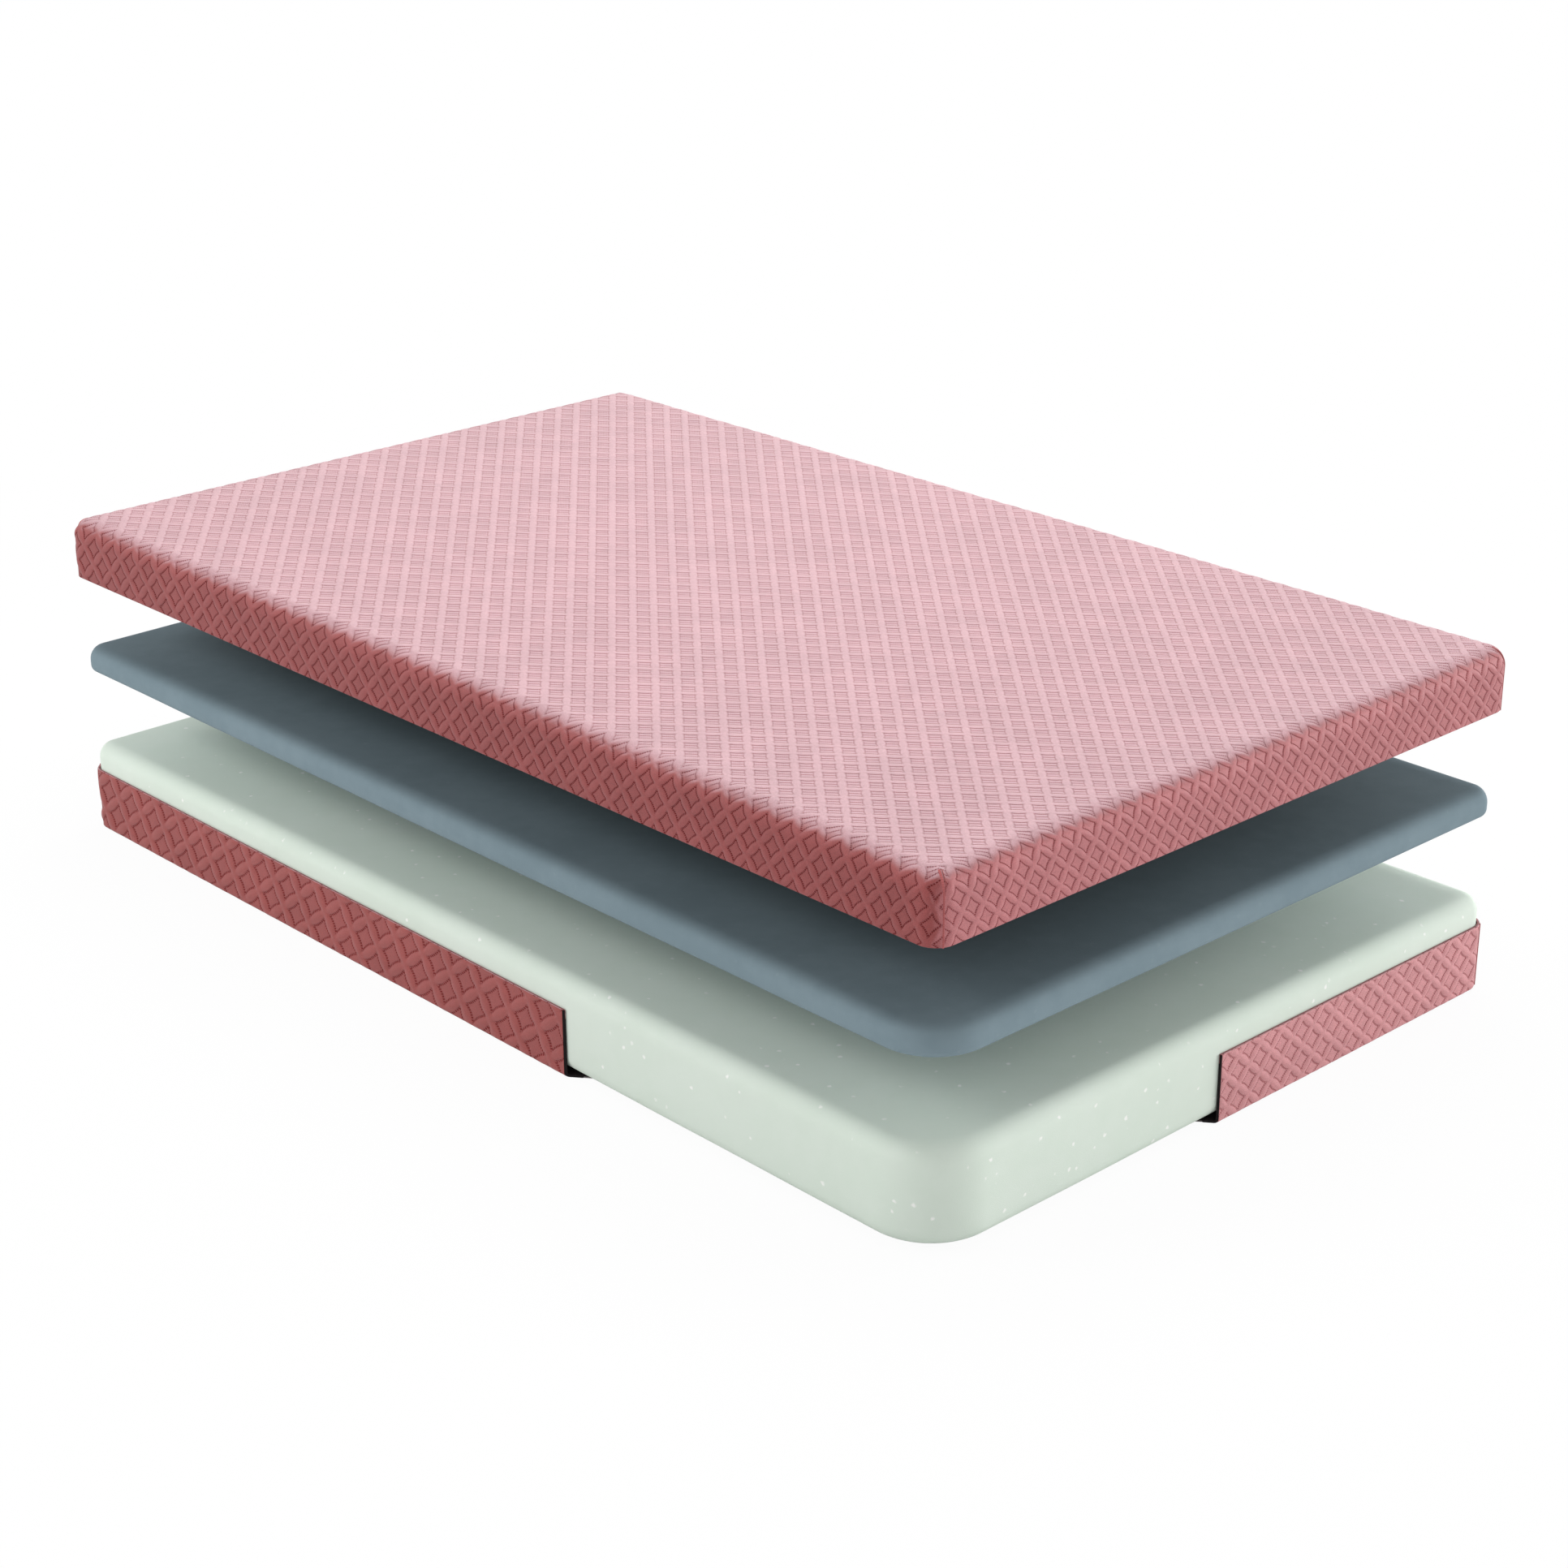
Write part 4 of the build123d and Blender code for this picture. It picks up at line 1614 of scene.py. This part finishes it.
@dataclass
class Tray:
    """Knitted lower half of the cover, cut away at the near corner.

    The lattice is wide and slanting on the long walls and closer on the short ones.
    """

    finishes: Finishes
    low: Vector = field(default_factory=lambda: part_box("tray_border")[0])
    high: Vector = field(default_factory=lambda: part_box("tray_border")[1])
    side_lattice: Lattice = Lattice(
        (0.0470, 0.0340), (0.0220, -0.0395), (0.250, -0.051), 0.0031, 0.0021, 0.0007, 0.0015
    )
    end_lattice: Lattice = Lattice(
        (0.0225, 0.0257), (0.0250, -0.0220), (0.057, -0.033), 0.0028, 0.0019, 0.0006, 0.0013
    )
    turn_under: float = 0.018
    foot_fade: float = 0.008
    fade_share: float = 0.55
    edge_share: float = 0.12
    front_cut: float = 0.270
    right_cut: float = -0.0285
    column_step: float = 0.0034
    slant_reach: float = 0.06

    def section(self) -> Section:
        """Round the cloth cut through, from the top of its outer face.

        Returns:
            The section, which closes on itself.
        """
        fold = KNIT / 2
        wall = self.high.z - fold - TRAY_EDGE
        plain = wall - self.foot_fade
        under = self.turn_under - TRAY_EDGE - fold
        section = Section(COVER_RADIUS, self.high.z - fold, -90.0)
        section.forward(plain, round(plain / self.column_step), relief=1.0)
        section.forward(self.foot_fade, 3, relief=self.fade_share)
        section.bend(TRAY_EDGE, 90.0, 4, relief=self.edge_share)
        section.forward(under, 3)
        section.bend(fold, 180.0, 3, finish=1)
        section.forward(under, 2, finish=1)
        section.bend(TRAY_EDGE - KNIT, -90.0, 3, finish=1)
        section.forward(wall, 4, finish=1)
        section.bend(fold, 180.0, 4)
        return section

    @property
    def cut_legs(self) -> Pair:
        """What the cut takes off the front and the right wall."""
        return self.high.x - self.front_cut, self.right_cut - self.low.y

    def corner_cut(self) -> CornerCut:
        """Sets the plane of the cut.

        Returns:
            The plane.
        """
        long, wide = self.cut_legs
        point = Vector((self.front_cut, self.low.y, 0.0))
        return CornerCut(point, Vector((wide, -long, 0.0)).normalized())

    def slant(self, points: np.ndarray) -> np.ndarray:
        """Brings the two cut ends onto the slanting plane of the cut.

        Args:
            points: Points of the border.

        Returns:
            The points moved.
        """
        moved = points.copy()
        long, wide = self.cut_legs
        front = points[..., 1] < self.low.y + COVER_RADIUS
        near = np.clip(1 - (self.front_cut - points[..., 0]) / self.slant_reach, 0, 1)
        inward = points[..., 1] - self.low.y
        moved[..., 0] += np.where(front, near * inward * long / wide, 0)
        right = points[..., 0] > self.high.x - COVER_RADIUS
        near = np.clip(1 - (points[..., 1] - self.right_cut) / self.slant_reach, 0, 1)
        inward = self.high.x - points[..., 0]
        moved[..., 1] -= np.where(right, near * inward * wide / long, 0)
        return moved

    def build(self) -> None:
        """Builds the border and dresses it."""
        half = (self.high.x - COVER_RADIUS, self.high.y - COVER_RADIUS)
        spans = (
            (Wall.RIGHT, self.right_cut, half[1]),
            (Wall.BACK, -half[0], half[0]),
            (Wall.LEFT, -half[1], half[1]),
            (Wall.FRONT, -half[0], self.front_cut),
        )
        runs = [(wall, start, end, round((end - start) / self.column_step)) for wall, start, end in spans]
        lattices = {wall: self.end_lattice if wall.is_end else self.side_lattice for wall in WALLS}
        draft = SoftDraft(lattices, by_wall=True)
        columns = Columns.around(half, runs, closed=False)
        draft.sweep(columns, self.section(), ring=True, warp=self.slant, cap_finish=1)
        border = draft.make("tray_border_knit", [self.finishes.tray_knit_painted_paler, self.finishes.lining])
        dress(border, "tray", ["tray_border"])


@dataclass
class CornerSeam:
    """Thin ridge sewn down one corner of the cover, with a groove beside it on the short wall's side.

    across and rise give its profile in millimetres, and top_turn how far it goes over the top edge in
    degrees, or 0 where it ends below that edge.
    """

    half_name: str
    corner_name: str
    side: tuple[int, int]
    body: str
    material: Material
    top_turn: float = 70.0
    edge_radius: float = COVER_RADIUS - KNIT
    wall: float = 0.0008
    across: tuple[float, ...] = (-3.5, -2.6, -1.9, -1.3, -0.7, -0.1, 0.4, 0.9, 1.6, 2.5, 3.5)
    rise: tuple[float, ...] = (-0.8, -0.1, 0.45, 1.0, 1.25, 1.0, 0.2, -0.5, -0.5, -0.1, -0.8)
    plain_rows: int = 36
    side_rows: int = 24
    bend_rows: int = 15
    fade_turn: float = 0.5
    smooth_angle: float = 75.0
    cover_high: Vector = field(default_factory=lambda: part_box("top_cover_fabric")[1])

    @property
    def node(self) -> str:
        """The node that the seam stands for."""
        return f"{self.half_name}_seam_{self.corner_name}"

    def path(self) -> np.ndarray:
        """Walks up the seam's line.

        Returns:
            Reach, height and lean of each row, from its foot up.
        """
        low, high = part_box(self.node)
        if not self.top_turn:
            return np.array([(COVER_RADIUS, z, 0.0) for z in np.linspace(low.z, high.z, self.plain_rows)])
        bend_at = self.cover_high.z - self.edge_radius
        rows = [(COVER_RADIUS, z, 0.0) for z in np.linspace(low.z, bend_at, self.side_rows)]
        inner = COVER_RADIUS - self.edge_radius
        for turn in np.radians(np.linspace(0, self.top_turn, self.bend_rows)[1:]):
            reach = inner + self.edge_radius * math.cos(turn)
            rows.append((reach, bend_at + self.edge_radius * math.sin(turn), turn))
        return np.array(rows)

    def build(self) -> None:
        """Wraps a grid round the corner and dresses it."""
        path = self.path()
        last = (len(self.across) - 1, len(path) - 1)
        Bench.take()
        bpy.ops.mesh.primitive_grid_add(x_subdivisions=last[0], y_subdivisions=last[1], size=1.0)
        piece = bpy.context.object
        piece.name = f"{self.node}_cord"
        mesh = piece.data
        flat = np.array([v.co[:2] for v in mesh.vertices]) + 0.5
        column, row = np.round(flat * last).astype(int).T
        across, rise = np.array([self.across, self.rise]) * MILLIMETRE
        hand = -1 if self.side[0] * self.side[1] > 0 else 1
        across, lift = hand * across[::hand][column], rise[::hand][column]
        reach, height, lean = path[row].T
        turn = math.radians(SEAM_TURN)
        seam = math.atan2(self.side[1] * math.sin(turn), self.side[0] * math.cos(turn))
        bearing = seam + across / reach
        if self.top_turn:
            fade = np.clip((path[-1, 2] - lean) / self.fade_turn, 0, 1)
            lift = np.where(lift > 0, lift * fade, lift)
        out = reach + lift * np.cos(lean)
        foot = [s * (h - COVER_RADIUS) for s, h in zip(self.side, self.cover_high)]
        x, y = foot[0] + out * np.cos(bearing), foot[1] + out * np.sin(bearing)
        points = np.stack([x, y, height + lift * np.sin(lean)], -1)
        mesh.vertices.foreach_set("co", points.astype(np.float32).ravel())
        run = np.concatenate([[0.0], np.cumsum(np.hypot(*np.diff(path[:, :2], axis=0).T))])
        layer = mesh.uv_layers.active
        layer.name = LATTICE_MAP
        for loop in mesh.loops:
            at = loop.vertex_index
            layer.uv[loop.index].vector = (hand * across[at], run[row[at]])
        mesh.update()
        Bench.thicken(piece, self.wall)
        Bench.finish(piece, self.material, self.smooth_angle)
        dress(piece, self.body, [self.node])


@dataclass
class FittedCloth:
    """Lining of one half of the cover: a shallow box of thin cloth, open on one side."""

    name: str
    node: str
    body: str
    material: Material
    edge_radius: float
    open_below: bool
    rests_on: str
    corner_cut: CornerCut | None = None
    corner_radius: float = COVER_RADIUS - KNIT
    cloth: float = 0.001

    def build(self) -> None:
        """Builds the box, opens it, cuts its corner away and dresses it."""
        low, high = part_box(self.node)
        piece = Bench.cube(self.name, low, high)
        Bench.bevel(piece, upright, self.corner_radius, 10)
        closed, opened = (high.z, low.z) if self.open_below else (low.z, high.z)
        Bench.bevel(piece, lambda p: lies_at(p, 2, closed), self.edge_radius, 6)
        Bench.remove(piece, lambda p: lies_at(p, 2, opened))
        if self.corner_cut is not None:
            self.corner_cut.cut()
        Bench.thicken(piece, self.cloth)
        Bench.finish(piece, self.material)
        dress(piece, self.body, [self.node])
        skirt = high.z - low.z + self.edge_radius * (math.pi / 2 - 1)
        missing = 4 * (skirt - self.edge_radius) ** 2
        if self.corner_cut is not None:
            long, wide = self.corner_cut.legs(low, high)
            missing += long * wide / 2 + skirt * (long + wide)


@dataclass
class BasePanel:
    """Hard-wearing cloth under the tray."""

    material: Material
    corner_cut: CornerCut
    node: str = "base_panel"
    corner_radius: float = 0.014
    edge_round: float = 0.0009

    def build(self) -> None:
        """Builds the cloth and dresses it."""
        low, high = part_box(self.node)
        piece = Bench.cube("base_cloth_panel", low, high)
        Bench.bevel(piece, upright, self.corner_radius, 8)
        self.corner_cut.cut()
        Bench.close()
        Bench.bevel(piece, lambda p: lies_at(p, 2, low.z), self.edge_round, 2)
        Bench.finish(piece, self.material)
        dress(piece, "tray", [self.node])
        long, wide = self.corner_cut.legs(low, high)


@dataclass
class ZipHalf:
    """Tape and coil of the hidden zip on one half of the cover."""

    half_name: str
    body: str
    finishes: Finishes
    corner_cut: CornerCut | None = None
    tape: float = 0.0006
    coil_depth: float = 0.001
    tooth_pitch: float = 0.0026
    tooth_share: float = 0.62
    tooth_round: float = 0.0004
    cover_high: Vector = field(default_factory=lambda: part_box("top_cover_fabric")[1])

    def in_break(self, points: list[Vector]) -> bool:
        """Looks for the stretch of the back left corner that the zip leaves free.

        Args:
            points: Points of a face or of one place.

        Returns:
            True if their middle lies in it.
        """
        middle = sum(points, Vector()) / len(points)
        x = middle.x + self.cover_high.x - COVER_RADIUS
        y = middle.y - self.cover_high.y + COVER_RADIUS
        return x < 0 < y and ZIP_BREAK[0] < math.degrees(math.atan2(y, x)) < ZIP_BREAK[1]

    def build_tape(self) -> None:
        """Builds the tape and dresses it."""
        node = f"{self.half_name}_zip_tape"
        low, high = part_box(node)
        piece = Bench.cube(f"{node}_cloth", low, high)
        Bench.bevel(piece, upright, COVER_RADIUS - KNIT, 10)
        Bench.remove(piece, lambda p: lies_at(p, 2, low.z) or lies_at(p, 2, high.z) or self.in_break(p))
        if self.corner_cut is not None:
            self.corner_cut.cut()
        Bench.thicken(piece, self.tape)
        Bench.finish(piece, self.finishes.zip_tape)
        dress(piece, self.body, [node])

    def build_coil(self) -> None:
        """Models one tooth and sets copies of it along the tape."""
        node = f"{self.half_name}_zip_coil"
        low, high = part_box(node)
        half = self.tooth_pitch * self.tooth_share / 2
        tooth = Bench.cube(f"{node}_teeth", (-self.coil_depth, -half, low.z), (0.0, half, high.z))
        Bench.bevel(tooth, lambda p: lies_at(p, 0, -self.coil_depth) and not upright(p), self.tooth_round, 2)
        shape = np.array([v.co for v in tooth.data.vertices])
        faces = [tuple(p.vertices) for p in tooth.data.polygons]
        points, rings = [], []
        for x, y, turn in self.spots(high):
            ahead = np.array([math.cos(turn), math.sin(turn)])
            side = np.array([-ahead[1], ahead[0]])
            flat = np.outer(shape[:, 0], ahead) + np.outer(shape[:, 1], side) + [x, y]
            first = len(points) * len(shape)
            points.append(np.column_stack([flat, shape[:, 2]]))
            rings.extend(tuple(first + v for v in f) for f in faces)
        mesh = bpy.data.meshes.new(tooth.name)
        mesh.from_pydata(np.concatenate(points).tolist(), [], rings)
        mesh.update()
        tooth.data = mesh
        mesh.materials.append(self.finishes.zip_coil)
        dress(tooth, self.body, [node])

    def spots(self, high: Vector) -> list[Place]:
        """Sets the teeth out along the tape.

        Args:
            high: Highest corner of the coil's box.

        Returns:
            X, Y and bearing in radians for each tooth.
        """
        radius = COVER_RADIUS - KNIT - self.tape
        line = []
        for wall in WALLS:
            reach, span = wall.turned((high.x - radius, high.y - radius))
            for place in np.arange(-span, span, self.tooth_pitch):
                spot = wall.out * (reach + radius) + wall.along * place
                line.append((*spot, math.radians(wall.value)))
            foot = wall.out * reach + wall.along * span
            count = round(radius * math.pi / 2 / self.tooth_pitch)
            for step in range(count):
                turn = math.radians(wall.value + 90.0 * step / count)
                line.append((foot[0] + radius * math.cos(turn), foot[1] + radius * math.sin(turn), turn))
        kept = []
        for x, y, turn in line:
            spot = Vector((x, y, 0.0))
            beyond = self.corner_cut is not None and self.corner_cut.beyond(spot) > -self.tooth_pitch
            if not beyond and not self.in_break([spot]):
                kept.append((x, y, turn))
        return kept

    def build(self) -> None:
        """Builds the coil and the tape."""
        self.build_coil()
        self.build_tape()


@dataclass
class ZipSlider:
    """Metal slider and its pull tab, parked at the end of the tray's coil.

    They are modelled with X outwards, Y along the zip and Z up, and then turned to their place.
    """

    material: Material
    length: float = 0.009
    height: float = 0.008
    depth: float = 0.004
    plate: float = 0.0010
    nose_radius: float = 0.0026
    tail_radius: float = 0.0011
    edge_round: float = 0.0002
    post_span: Pair = (0.0006, 0.0032)
    post_height: float = 0.0022
    post_round: float = 0.0007
    lip_span: Pair = (0.004, 0.0078)
    lip_wall: float = 0.0008
    lip_depth: float = 0.0009
    loop_radius: float = 0.0021
    loop_wire: float = 0.00045
    loop_drop: float = 0.0028
    loop_back: float = 0.0001
    clearance: float = 0.00035
    end_gap: float = 0.0003
    coil_inset: float = 0.0042
    pull_length: float = 0.014
    pull_width: float = 0.005
    pull_thickness: float = 0.001
    pull_gap: float = 0.0004
    pull_round: float = 0.0012
    pull_border: float = 0.0010
    pull_press: float = 0.0002
    pull_edge: float = 0.00015

    @property
    def face(self) -> float:
        """Distance of the slider's outer face from the middle of the corner."""
        inner = COVER_RADIUS - KNIT - self.clearance
        return math.sqrt(inner**2 - (self.length / 2) ** 2)

    def place(self, piece: Piece) -> None:
        """Turns a piece from the slider's own axes to where the slider sits.

        Args:
            piece: The object.
        """
        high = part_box("top_cover_fabric")[1]
        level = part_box("tray_border")[1].z
        reach = COVER_RADIUS - self.coil_inset
        turn = math.radians(ZIP_BREAK[1]) - math.asin((self.length / 2 + self.end_gap) / reach)
        Bench.take(piece)
        piece.location = (-high.x + COVER_RADIUS, high.y - COVER_RADIUS, level)
        piece.rotation_euler = (0.0, 0.0, turn)
        bpy.ops.object.transform_apply(location=True, rotation=True, scale=True)

    def plates(self) -> list[Piece]:
        """Builds the two plates, tapered towards the nose.

        Returns:
            The plates, the inner one first.
        """
        back = self.face - self.depth
        half = (self.length / 2, self.height / 2)
        plates = []
        for number, low in enumerate((back, self.face - self.plate)):
            high = low + self.plate
            plate = Bench.cube(f"plate_{number}", (low, -half[0], -half[1]), (high, half[0], half[1]))
            Bench.bevel(plate, lambda p: lengthwise(p) and p[0].y < 0, self.nose_radius, 5)
            Bench.bevel(plate, lambda p: lengthwise(p) and p[0].y > 0, self.tail_radius, 4)
            Bench.bevel(plate, lambda p: lies_at(p, 0, low) or lies_at(p, 0, high), self.edge_round, 2)
            plates.append(plate)
        return plates

    def build_slider(self) -> None:
        """Builds the plates, the post and lips between them and the loop for the pull."""
        pieces = self.plates()
        nose, top = -self.length / 2, self.height / 2
        inner, outer = self.face - self.depth + self.plate, self.face - self.plate
        start, end = (nose + place for place in self.post_span)
        half = self.post_height / 2
        post = Bench.cube("post", (inner, start, -half), (outer, end, half))
        Bench.bevel(post, lengthwise, self.post_round, 3)
        pieces.append(post)
        start, end = (nose + place for place in self.lip_span)
        for name, low in (("lower_lip", -top), ("upper_lip", top - self.lip_wall)):
            lip = Bench.cube(name, (inner, start, low), (inner + self.lip_depth, end, low + self.lip_wall))
            Bench.bevel(lip, lambda p: True, self.edge_round, 2)
            pieces.append(lip)
        Bench.take()
        bpy.ops.mesh.primitive_torus_add(
            major_radius=self.loop_radius,
            minor_radius=self.loop_wire,
            major_segments=20,
            minor_segments=8,
            location=(self.face - self.depth - self.loop_back, 0.0, top - self.loop_drop),
        )
        pieces.append(bpy.context.object)
        Bench.take(*pieces)
        bpy.ops.object.join()
        slider = bpy.context.object
        slider.name = "zip_slider_body"
        self.place(slider)
        Bench.finish(slider, self.material)
        dress(slider, "tray", ["zip_slider"])

    def build_pull(self) -> None:
        """Builds the tab with a pressed panel on both faces."""
        outer = self.face - self.depth - self.pull_gap
        half, top = self.pull_width / 2, self.height / 2
        low = (outer - self.pull_thickness, -half, top - self.pull_length)
        tab = Bench.cube("zip_pull_tab", low, (outer, half, top))
        Bench.bevel(tab, lengthwise, self.pull_round, 4)
        Bench.select(tab, "FACE", lambda p: lies_at(p, 0, low[0]) or lies_at(p, 0, outer))
        with Bench.editing():
            bpy.ops.mesh.inset(thickness=self.pull_border)
            bpy.ops.mesh.inset(thickness=self.pull_press, depth=-self.pull_press)
        Bench.bevel(tab, lambda p: lies_at(p, 0, low[0]) or lies_at(p, 0, outer), self.pull_edge, 2)
        self.place(tab)
        Bench.finish(tab, self.material)
        dress(tab, "tray", ["zip_pull"])

    def build(self) -> None:
        """Builds the slider and its pull."""
        self.build_slider()
        self.build_pull()


@dataclass(frozen=True)
class SoftLight:
    """An oblong soft light that points at the mattress; size is its width and height, power in watts."""

    name: str
    place: Place
    size: Pair
    power: float

    def hang(self, target: Vector) -> None:
        """Hangs the light.

        Args:
            target: What it points at.
        """
        data = bpy.data.lights.new(self.name, "AREA")
        data.shape = "RECTANGLE"
        data.size, data.size_y = self.size
        data.energy = self.power
        lamp = bpy.data.objects.new(self.name, data)
        lamp.location = self.place
        lamp.rotation_euler = (target - Vector(self.place)).to_track_quat("-Z", "Y").to_euler()
        bpy.context.scene.collection.objects.link(lamp)


@dataclass
class Studio:
    """Pale floor, soft lights and the camera."""

    lens_pixels: float = 3665.89
    frame_pixels: float = 1932.0
    sensor: float = 36.0
    pitch: float = 22.43586
    yaw: float = 46.96795
    roll: float = -0.19439
    place: Place = (3.2442, -2.9448, 2.0102)
    world_light: float = 0.31
    floor_size: float = 60.0
    floor_level: float = -0.0006
    target: Place = (0.0, 0.0, 0.3)
    lights: tuple[SoftLight, ...] = (
        SoftLight("top_light", (0.0, 0.3, 3.6), (3.0, 3.0), 105.0),
        SoftLight("back_light", (-4.0, 5.6, 3.4), (9.0, 3.6), 210.0),
        SoftLight("right_light", (4.5, 6.6, 1.8), (5.0, 3.0), 410.0),
        SoftLight("left_light", (-2.6, -3.7, 2.8), (2.6, 1.8), 105.0),
        SoftLight("front_light", (3.4, -3.2, 2.2), (2.0, 2.0), 32.0),
    )

    def camera(self) -> None:
        """Sets the camera where the photograph was taken from."""
        pitch, yaw, roll = (math.radians(a) for a in (self.pitch, self.yaw, self.roll))
        level = Vector((math.cos(yaw), math.sin(yaw), 0.0))
        forward = Vector((-math.sin(yaw), math.cos(yaw), 0.0))
        ahead = math.cos(pitch) * forward - math.sin(pitch) * Vector((0.0, 0.0, 1.0))
        above = level.cross(ahead)
        right = math.cos(roll) * level + math.sin(roll) * above
        above = -math.sin(roll) * level + math.cos(roll) * above
        data = bpy.data.cameras.new("camera")
        data.sensor_width = self.sensor
        data.lens = self.sensor * self.lens_pixels / self.frame_pixels
        camera = bpy.data.objects.new("camera", data)
        turn = Matrix((right, above, -ahead)).transposed()
        camera.matrix_world = Matrix.Translation(self.place) @ turn.to_4x4()
        bpy.context.scene.collection.objects.link(camera)
        bpy.context.scene.camera = camera

    def sky(self) -> None:
        """Lights the object softly from all round, on a white background."""
        world = bpy.data.worlds.new("studio")
        world.use_nodes = True
        world.node_tree.nodes.clear()
        graph = Graph(world.node_tree)
        white = opaque((1.0, 1.0, 1.0))
        light, shown = (
            graph.add("ShaderNodeBackground", {"Color": white, "Strength": strength}).outputs[0]
            for strength in (self.world_light, 1.0)
        )
        mixed = graph.add("ShaderNodeMixShader", {0: seen(graph), 1: light, 2: shown})
        graph.add("ShaderNodeOutputWorld", {"Surface": mixed.outputs[0]})
        bpy.context.scene.world = world

    def floor(self) -> None:
        """Lays a pale floor that keeps a soft shadow."""
        Bench.take()
        bpy.ops.mesh.primitive_plane_add(size=self.floor_size, location=(0.0, 0.0, self.floor_level))
        floor = bpy.context.object
        floor.name = "floor"
        floor.data.materials.append(FloorFinish("pale_floor").material())

    def build(self) -> None:
        """Sets up the whole studio."""
        bpy.context.scene.view_settings.view_transform = "Standard"
        self.camera()
        self.sky()
        self.floor()
        for light in self.lights:
            light.hang(Vector(self.target))


def main() -> None:
    """Builds every piece and the studio."""
    logging.basicConfig(level=logging.INFO, format="%(message)s")
    finishes = Finishes()
    tray = Tray(finishes)
    corner_cut = tray.corner_cut()
    FittedCloth(
        name="top_lining_cloth",
        node="top_cover_lining",
        body="cover",
        material=finishes.lining,
        edge_radius=COVER_RADIUS - 2 * KNIT,
        open_below=True,
        rests_on="top_cover_knit",
    ).build()
    FittedCloth(
        name="tray_lining_cloth",
        node="tray_lining",
        body="tray",
        material=finishes.lining,
        edge_radius=TRAY_EDGE - KNIT,
        open_below=False,
        rests_on="base_cloth_panel",
        corner_cut=corner_cut,
    ).build()
    BasePanel(finishes.base_cloth, corner_cut).build()
    ZipHalf("top", "cover", finishes).build()
    ZipHalf("tray", "tray", finishes, corner_cut).build()
    ZipSlider(finishes.zip_metal).build()
    corners = {"front_right": (1, -1), "back_right": (1, 1), "back_left": (-1, 1), "front_left": (-1, -1)}
    for corner, side in corners.items():
        CornerSeam("top", corner, side, "cover", finishes.seam).build()
        if corner != "front_right":
            CornerSeam("tray", corner, side, "tray", finishes.seam, top_turn=0.0).build()
    Studio().build()
    FoamSlab(
        name="memory_foam_slab",
        node="memory_foam_layer",
        body="memory_foam",
        slot="memory_foam",
        material=finishes.memory_foam,
        corner_radius=0.090,
        upper_round=0.0258,
        lower_round=0.012,
    ).build()
    FoamSlab(
        name="core_slab",
        node="support_core",
        body="core",
        slot="core_foam",
        material=finishes.core_foam,
        corner_radius=0.105,
        upper_round=0.028,
        lower_round=0.026,
    ).build()
    tray.build()
    TopCover(finishes).build()


if __name__ == "__main__":
    main()
